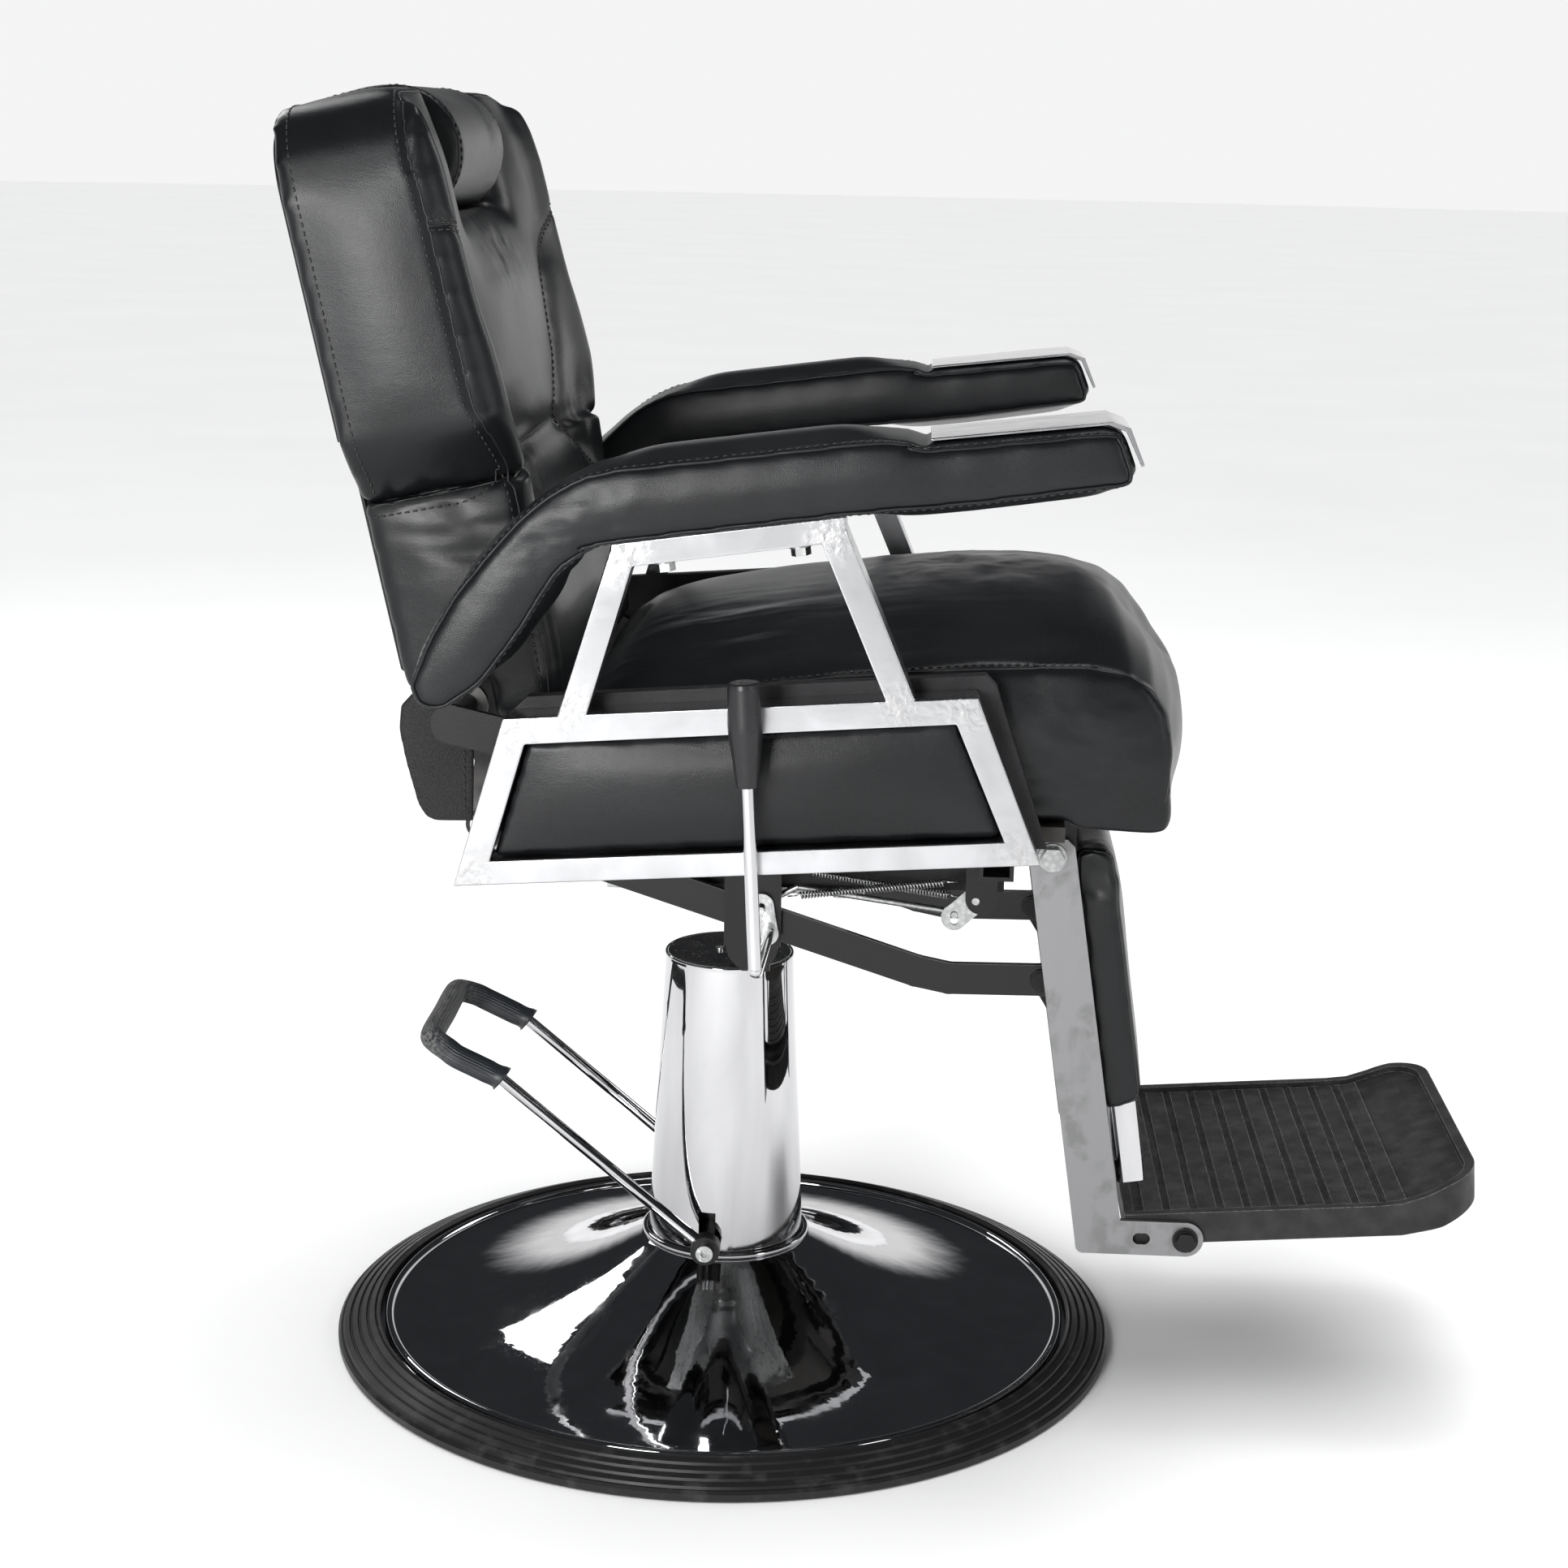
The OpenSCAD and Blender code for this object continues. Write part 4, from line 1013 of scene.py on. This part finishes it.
def in_back(out, y, up):
    """A point given as depth off the rear face, side and height along the back."""
    return BACK_FOOT + BACK_OUT * out + BACK_UP * up + Vector((0, y, 0))


def back_coordinates(co):
    rel = co - np.array(BACK_FOOT)
    return rel @ np.array(BACK_OUT), co[:, 1], rel @ np.array(BACK_UP)


def back_points(out, y, up):
    return (np.array(BACK_FOOT) + np.outer(out, np.array(BACK_OUT)) + np.outer(up, np.array(BACK_UP))
            + np.outer(y, (0, 1, 0)))


def back_half_width(up):
    """Half width of the back: slim between the arm pads, wide above them."""
    wide = blend_step(up, BACK_WAIST - 0.022, BACK_WAIST + 0.030)
    return BACK_LOW_HALF + (BACK_HALF - BACK_LOW_HALF) * wide


def edge_depth(up):
    """Depth of the side panel's front seam."""
    return np.interp(up, [BACK_LIP, -0.015, 0.06, 0.113, 0.151, 0.19, 0.314, 0.402],
                     [0.102, 0.106, 0.108, 0.113, 0.109, 0.100, 0.098, 0.094])


def ridge_depth(up):
    """Depth of the bolster's crest."""
    return np.interp(up, [BACK_LIP, 0, 0.06, 0.14, 0.18, 0.29, 0.35, 0.393, 0.414],
                     [0.112, 0.117, 0.118, 0.119, 0.120, 0.116, 0.114, 0.108, 0.092])


def middle_depth(up):
    """Depth of the back's middle, pulled in at the lumbar seam."""
    return np.interp(up, [BACK_LIP, 0.02, 0.07, 0.11, 0.139, 0.19, 0.30, 0.414],
                     [0.112, 0.118, 0.114, 0.106, 0.097, 0.102, 0.101, 0.092])


def front_depth(y, up):
    """Depth of the front face: side seam, crest, then a shallow hollow between the bolsters."""
    crest_reach, hollow_reach, notch_reach, rim = 0.018, 0.026, 0.013, 0.090
    inward = back_half_width(up) - np.abs(y)
    edge, crest, middle = edge_depth(up), ridge_depth(up), middle_depth(up)
    rising = edge + (crest - edge) * np.sin(np.clip(inward / crest_reach, 0, 1) * math.pi / 2)
    fall = np.exp(-(np.maximum(inward - crest_reach, 0) / hollow_reach) ** 1.5)
    face = np.where(inward < crest_reach, rising, middle + (crest - middle) * fall)
    past = np.hypot(np.maximum(np.abs(y) - NOTCH_HALF, 0), np.maximum(NOTCH_FOOT - up, 0))
    face = face - 0.016 * np.exp(-(past / notch_reach) ** 1.3)
    return rim + (face - rim) * blend_step(BACK_TOP - up, 0, 0.022)


def rounded_top(half, low, high, radius, notch_half, notch_low):
    """Outline, as (y, up), of the back's wide part with its round shoulders and the headrest's notch."""
    turn = [math.pi / 2 * k / 10 for k in range(11)]
    right = [(half - radius + radius * math.cos(a), high - radius + radius * math.sin(a)) for a in turn]
    left = [(-y, up) for y, up in reversed(right)]
    notch = [(notch_half, high), (notch_half, notch_low), (-notch_half, notch_low), (-notch_half, high)]
    return [(-half, low), (half, low), *right, *notch, *left]


def princess_line(side):
    """The curved double seam from the shoulder to the lumbar seam, and on down to the side."""
    path = [(0.255, 0.318), (0.236, 0.302), (0.203, 0.280), (0.180, 0.258), (0.163, 0.225), (0.150, 0.195),
            (0.135, 0.167), (0.120, 0.140), (0.142, 0.119), (0.172, 0.096), (0.196, 0.078)]
    return [in_back(float(front_depth(y, up)), side * y, up) for y, up in path]


def rectangle(half, low, high):
    return [(-half, low), (half, low), (half, high), (-half, high)]


def back_block(name, outline, low, high):
    """A block with an outline of (side, height), between two depths off the back's rear face."""
    return prism(name, outline, low, high, lambda y, up, out: in_back(out, y, up))


def back_blank(gap):
    """The plain blank of the back: its wide upper part, its low part and the lip in front."""
    low_half = BACK_LOW_HALF - gap
    top = rounded_top(BACK_HALF - gap, BACK_WAIST - 0.02, BACK_TOP - gap, SHOULDER_RADIUS,
                      NOTCH_HALF + 0.001, NOTCH_FOOT)
    back = united([back_block("back_leather", top, 0, BACK_THICK),
                   back_block("back_low", rectangle(low_half, -0.008, BACK_WAIST), 0, BACK_THICK),
                   back_block("back_lip", rectangle(low_half, BACK_LIP, 0.02), 0.062, BACK_THICK)])
    even_mesh(back, 0.006)
    return back


def shape_back(back):
    """Gives the blank its waist and its front face."""
    out, y, up = back_coordinates(points_of(back))
    share = back_half_width(up) / np.where(up > BACK_WAIST - 0.02, BACK_HALF, BACK_LOW_HALF)
    y = np.where(up > BACK_WAIST - 0.021, y * np.minimum(1, share), y)
    set_points(back, back_points(out * front_depth(y, up) / BACK_THICK, y, up))
    modify(back, "SMOOTH", factor=0.5, iterations=1)


def held_back(back, sewn):
    """Points of the back that stay: at its seams, on its board, in the notch and at the lip's foot."""
    out, y, up = back_coordinates(points_of(back))
    in_notch = (np.abs(y) < NOTCH_HALF + 0.006) & (up > NOTCH_FOOT - 0.006)
    on_board = (out < 0.004) | ((up < 0.0) & (out < 0.07))
    return near_lines(back, sewn, 0.0045) | on_board | in_notch | (up < BACK_LIP + 0.010)


def make_back():
    back = back_blank(0.002)
    shape_back(back)
    lines = back_lines()
    puff(back, held_back(back, lines["sewn"]), 4.0, 0.008)
    press_seams(back, lines["sewn"], 0.0038, 0.0019)
    press_seams(back, lines["lumbar"], 0.010, 0.004)
    for side in (-1, 1):
        wrinkle(back, in_back(0.07, side * 0.235, 0.10), (0.04, 0.04, 0.035), 0.0042, (9, 9, 26), 11 + side)
        wrinkle(back, in_back(0.10, side * 0.15, 0.11), (0.05, 0.07, 0.04), 0.0035, (18, 24, 12), 21 + side)
    wrinkle(back, in_back(0.10, 0.0, 0.285), (0.05, 0.07, 0.03), 0.0020, (16, 22, 30), 31)
    piece(back, LEATHER, "back", ["back_cushion"])
    seam_cords("back_seam", back, lines["sewn"] + lines["lumbar"], "back")
    sew("back_stitching", back, lines["stitched"], "back")


def join(objects):
    """One object made of several meshes."""
    bm = bmesh.new()
    for obj in objects:
        bm.from_mesh(obj.data)
    first = objects[0]
    bm.to_mesh(first.data)
    bm.free()
    for obj in objects[1:]:
        bpy.data.objects.remove(obj)
    return first


def side_line(depth_of, low, high, offset=0.0):
    """Lines up both sides of the back at a depth that changes with height."""
    count = 24
    ups = [low + (high - low) * k / count for k in range(count + 1)]
    return [spline([in_back(float(depth_of(up)) + offset, side * float(back_half_width(up)), up)
                    for up in ups]) for side in (-1, 1)]


def over_shoulder(depth, end_depth):
    """Lines over both round shoulders, to the headrest's notch."""
    quarter = [math.pi / 2 * k / 8 for k in range(9)]
    made = []
    for side in (-1, 1):
        arc = [in_back(depth, side * (BACK_HALF - SHOULDER_IN + SHOULDER_RADIUS * math.cos(a)),
                       BACK_TOP - SHOULDER_IN + SHOULDER_RADIUS * math.sin(a)) for a in quarter]
        made.append(spline(arc + [in_back(end_depth, side * (NOTCH_HALF + 0.012), BACK_TOP - 0.002)]))
    return made


def bolster_seams():
    """The short seams over both bolsters beside the headrest."""
    up = 0.313
    return [spline([in_back(float(edge_depth(up)), side * BACK_HALF, up),
                    in_back(0.112, side * (BACK_HALF - 0.010), up - 0.002),
                    in_back(0.118, side * (BACK_HALF - 0.020), up - 0.006)], 0.001) for side in (-1, 1)]


def waist_seams():
    """The seams across both low side panels, under the waist."""
    return [spline([in_back(out, side * 0.232, 0.126 + 0.4 * max(0, out - 0.08))
                    for out in (0.004, 0.03, 0.055, 0.08, 0.105)]) for side in (-1, 1)]


def back_lines():
    """Every sewn line of the back: what is sewn down, the lumbar seam and what is stitched."""
    shoulder, foot, rear_depth = BACK_TOP - SHOULDER_IN, -0.038, 0.0115
    front = side_line(edge_depth, foot, shoulder)
    over = over_shoulder(0.0945, 0.0935)
    princess = [spline(princess_line(side)) for side in (-1, 1)]
    lumbar = [spline([in_back(float(front_depth(y, 0.14)), y, 0.146 - 0.45 * y * y)
                      for y in (-0.12 + 0.02 * k for k in range(13))])]
    cross, short = waist_seams(), bolster_seams()
    over_rows = [[p - BACK_OUT * 0.006 for p in line] for line in over]
    beside = [[p + Vector((0, side * d, 0)) for p in line] for line, side in zip(princess, (-1, 1))
              for d in (0.0035, -0.0035)]
    rear = side_line(lambda up: rear_depth, 0.135, shoulder) + over_shoulder(rear_depth, rear_depth)
    short_rows = [[p + BACK_UP * d for p in line] for line in short for d in (0.003, -0.003)]
    cross_rows = [[p - BACK_UP * 0.006 for p in line] for line in cross]
    return {"sewn": front + over + princess + cross + short, "lumbar": lumbar,
            "stitched": side_line(edge_depth, foot, shoulder, -0.006) + over_rows + beside + rear
            + short_rows + cross_rows}


def make_back_panel():
    """The covered rear panel over the back's board, with piping round its edge."""
    margin, waist, foot, face = 0.016, BACK_WAIST + 0.030, 0.006, 0.0115
    low_half, tail_half, tail_foot, overlap = BACK_LOW_HALF - margin, 0.188, -0.086, 0.024
    outline = rounded_top(BACK_HALF - margin, waist, BACK_TOP - margin, 0.046,
                          NOTCH_HALF + margin - 0.002, NOTCH_FOOT - margin)
    low_right = [(tail_half, tail_foot), (tail_half, foot), (low_half, foot), (low_half, waist + overlap)]
    low_part = [(-tail_half, tail_foot), *low_right, *[(-y, up) for y, up in low_right[:0:-1]]]
    panel = united([back_block("back_panel", outline, -0.003, face),
                    back_block("back_panel_low", low_part, -0.003, face)])
    even_mesh(panel, 0.0055)
    out, y, up = back_coordinates(points_of(panel))
    middle = np.clip(1 - (np.abs(y) / 0.20) ** 4, 0, 1)
    middle *= blend_step(up, 0.0, 0.08) * blend_step(-up, -0.31, -0.22)
    set_points(panel, back_points(out - 0.005 * middle * (out < 0.002), y, up))
    modify(panel, "SUBSURF", levels=1)
    piece(panel, MATERIALS["board_vinyl"], "back", ["back_board"])
    low_rim = [(-low_half, waist), (-low_half, foot), (low_half, foot), (low_half, waist)]
    rim = [outline[0], *low_rim, *outline[1:]]
    ring = [in_back(-0.001, y, up) for y, up in rim + rim[:1]]
    piece(tube("back_panel_piping", even(ring, 0.003), 1.8 * MM, 8, True), LEATHER, "back")


def make_headrest():
    low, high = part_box("headrest")
    gap = 0.001
    roll, outline = pillow_blank("headrest_leather", "headrest", gap, 0.004)
    loops = loops_round(outline, (low.y + gap, high.y - gap))
    out, _, up = back_coordinates(points_of(roll))
    under = up < NOTCH_FOOT + 0.012
    puff(roll, near_lines(roll, loops, 0.004) | under | (out < 0.016), 3.0, 0.003)
    press_seams(roll, loops, 0.003, 0.0015)
    wrinkle(roll, in_back(0.10, 0.06, 0.36), (0.05, 0.05, 0.05), 0.0012, (30, 14, 30), 41)
    piece(roll, LEATHER, "headrest", ["headrest"])
    rows = [[p + Vector((0, -side * 0.004, 0)) for p in loop] for loop, side in zip(loops, (-1, 1))]
    sew("headrest_stitching", roll, rows, "headrest")
    seam_cords("headrest_seam", roll, loops, "headrest")


def make_skirt():
    """The coarse vinyl skirt: the CAD shell with softened edges and a short row of thread at each end."""
    obj = bpy.data.objects.new("back_skirt_cover", frame["nodes"]["back_skirt"].data.copy())
    bpy.context.scene.collection.objects.link(obj)
    modify(obj, "REMESH", mode="VOXEL", voxel_size=0.0022)
    modify(obj, "SMOOTH", factor=0.5, iterations=6)
    piece(obj, MATERIALS["coarse_vinyl"], "back", ["back_skirt"])
    low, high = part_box("back_skirt")
    margin = 0.008
    rows = [[Vector((high.x - margin, side * high.y, low.z + margin + 0.004 * k)) for k in range(16)]
            for side in (-1, 1)]
    sew("skirt_stitching", obj, rows, "back")


# ---------- leg rest ----------

def make_calf_pad():
    low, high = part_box("calf_pad")
    gap = 0.002
    pad, outline = pillow_blank("calf_leather", "calf_pad", gap, 0.005)
    loops = loops_round(outline, (low.y + gap, high.y - gap))
    on_board = rear_side(points_of(pad), outline)
    puff(pad, near_lines(pad, loops, 0.004) | on_board, 4.0, 0.006)
    press_seams(pad, loops, 0.003, 0.0018)
    for side in (-1, 1):
        corner = (high.x - 0.045, side * high.y, high.z - 0.03)
        wrinkle(pad, corner, (0.03, 0.03, 0.04), 0.005, (24, 24, 18), 51)
    piece(pad, LEATHER, "legs", ["calf_pad"])
    seam_cords("calf_seam", pad, loops, "legs")


def rear_side(co, outline):
    """True on the pad's rear face, which lies on its board."""
    points = sorted(outline, key=lambda p: p[0])[:6]
    foot = max(points, key=lambda p: -p[1])
    head = max(points, key=lambda p: p[1])
    along = Vector((head[0] - foot[0], 0, head[1] - foot[1])).normalized()
    off = np.array((along.z, 0, -along.x))
    return (co - np.array((foot[0], 0, foot[1]))) @ off < 0.004


# ---------- springs and grips ----------

def spring_coil(start, end):
    """A close-wound spring with a straight end at each side, a little inside its plain CAD sleeve."""
    wire, radius, turns, per_turn, tail = 0.75 * MM, 2.5 * MM, 46, 12, 0.010
    along = (end - start).normalized()
    side = along.orthogonal().normalized()
    other = along.cross(side)
    length = (end - start).length - 2 * tail
    path = [start, start + along * (tail * 0.7)]
    for k in range(turns * per_turn + 1):
        angle = 2 * math.pi * k / per_turn
        path.append(start + along * (tail + length * k / (turns * per_turn))
                    + (side * math.cos(angle) + other * math.sin(angle)) * radius)
    return tube("spring_part", [*path, end - along * (tail * 0.7), end], wire, 6)


def make_springs():
    """The two return springs, one rising to the front and one falling."""
    low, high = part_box("return_springs")
    sleeve = 3.3 * MM
    near_y, far_y = low.y + sleeve, high.y - sleeve
    rising = (low.x + 0.001, near_y, low.z + 0.008), (high.x - 0.005, near_y, high.z - 0.004)
    falling = (low.x + 0.009, far_y, high.z - 0.007), (high.x - 0.001, far_y, low.z + 0.004)
    springs = join([spring_coil(Vector(start), Vector(end)) for start, end in (rising, falling)])
    springs.name = "return_spring_coils"
    piece(springs, MATERIALS["spring_steel"], "seat", ["return_springs"])


def make_pedal_grip():
    """The ribbed rubber sleeve: fluted along its run, with flared mouths."""
    y_side = 0.076
    side = [(-0.1782, y_side, 0.2366), (-0.180, y_side, 0.238), (-0.199, y_side, 0.247),
            (-0.215, y_side, 0.2545), (-0.2225, 0.0735, 0.2590), (-0.2335, 0.067, 0.2640),
            (-0.2380, 0.056, 0.2660)]
    path = [(x, -y, z) for x, y, z in side] + [(-0.238, 0.0, 0.266)] + side[::-1]
    flutes, flute_depth, flare, flare_reach, plain_end = 26, 0.035, 0.22, 0.012, 0.03

    def section(share, angle):
        end = min(share, 1 - share)
        mouth = 1 + flare * math.exp(-((end / flare_reach) ** 2))
        ribbed = min(1, max(0, (end - plain_end) / 0.02))
        return mouth * (1 + flute_depth * ribbed * math.cos(flutes * angle))

    grip = tube("pedal_grip_rubber", spline(path, 0.0025), 9.3 * MM, flutes * 4, False, section)
    piece(grip, MATERIALS["grip_rubber"], "pedal", ["pedal_grip"])


# ---------- build ----------

make_camera()
make_lights()
make_world()
make_floor()
dress_cad()
make_dome()
make_seat()
make_side_panels()
make_arm_pads()
make_back()
make_back_panel()
make_headrest()
make_skirt()
make_calf_pad()
make_springs()
make_pedal_grip()
bpy.context.scene.view_settings.view_transform = "Standard"
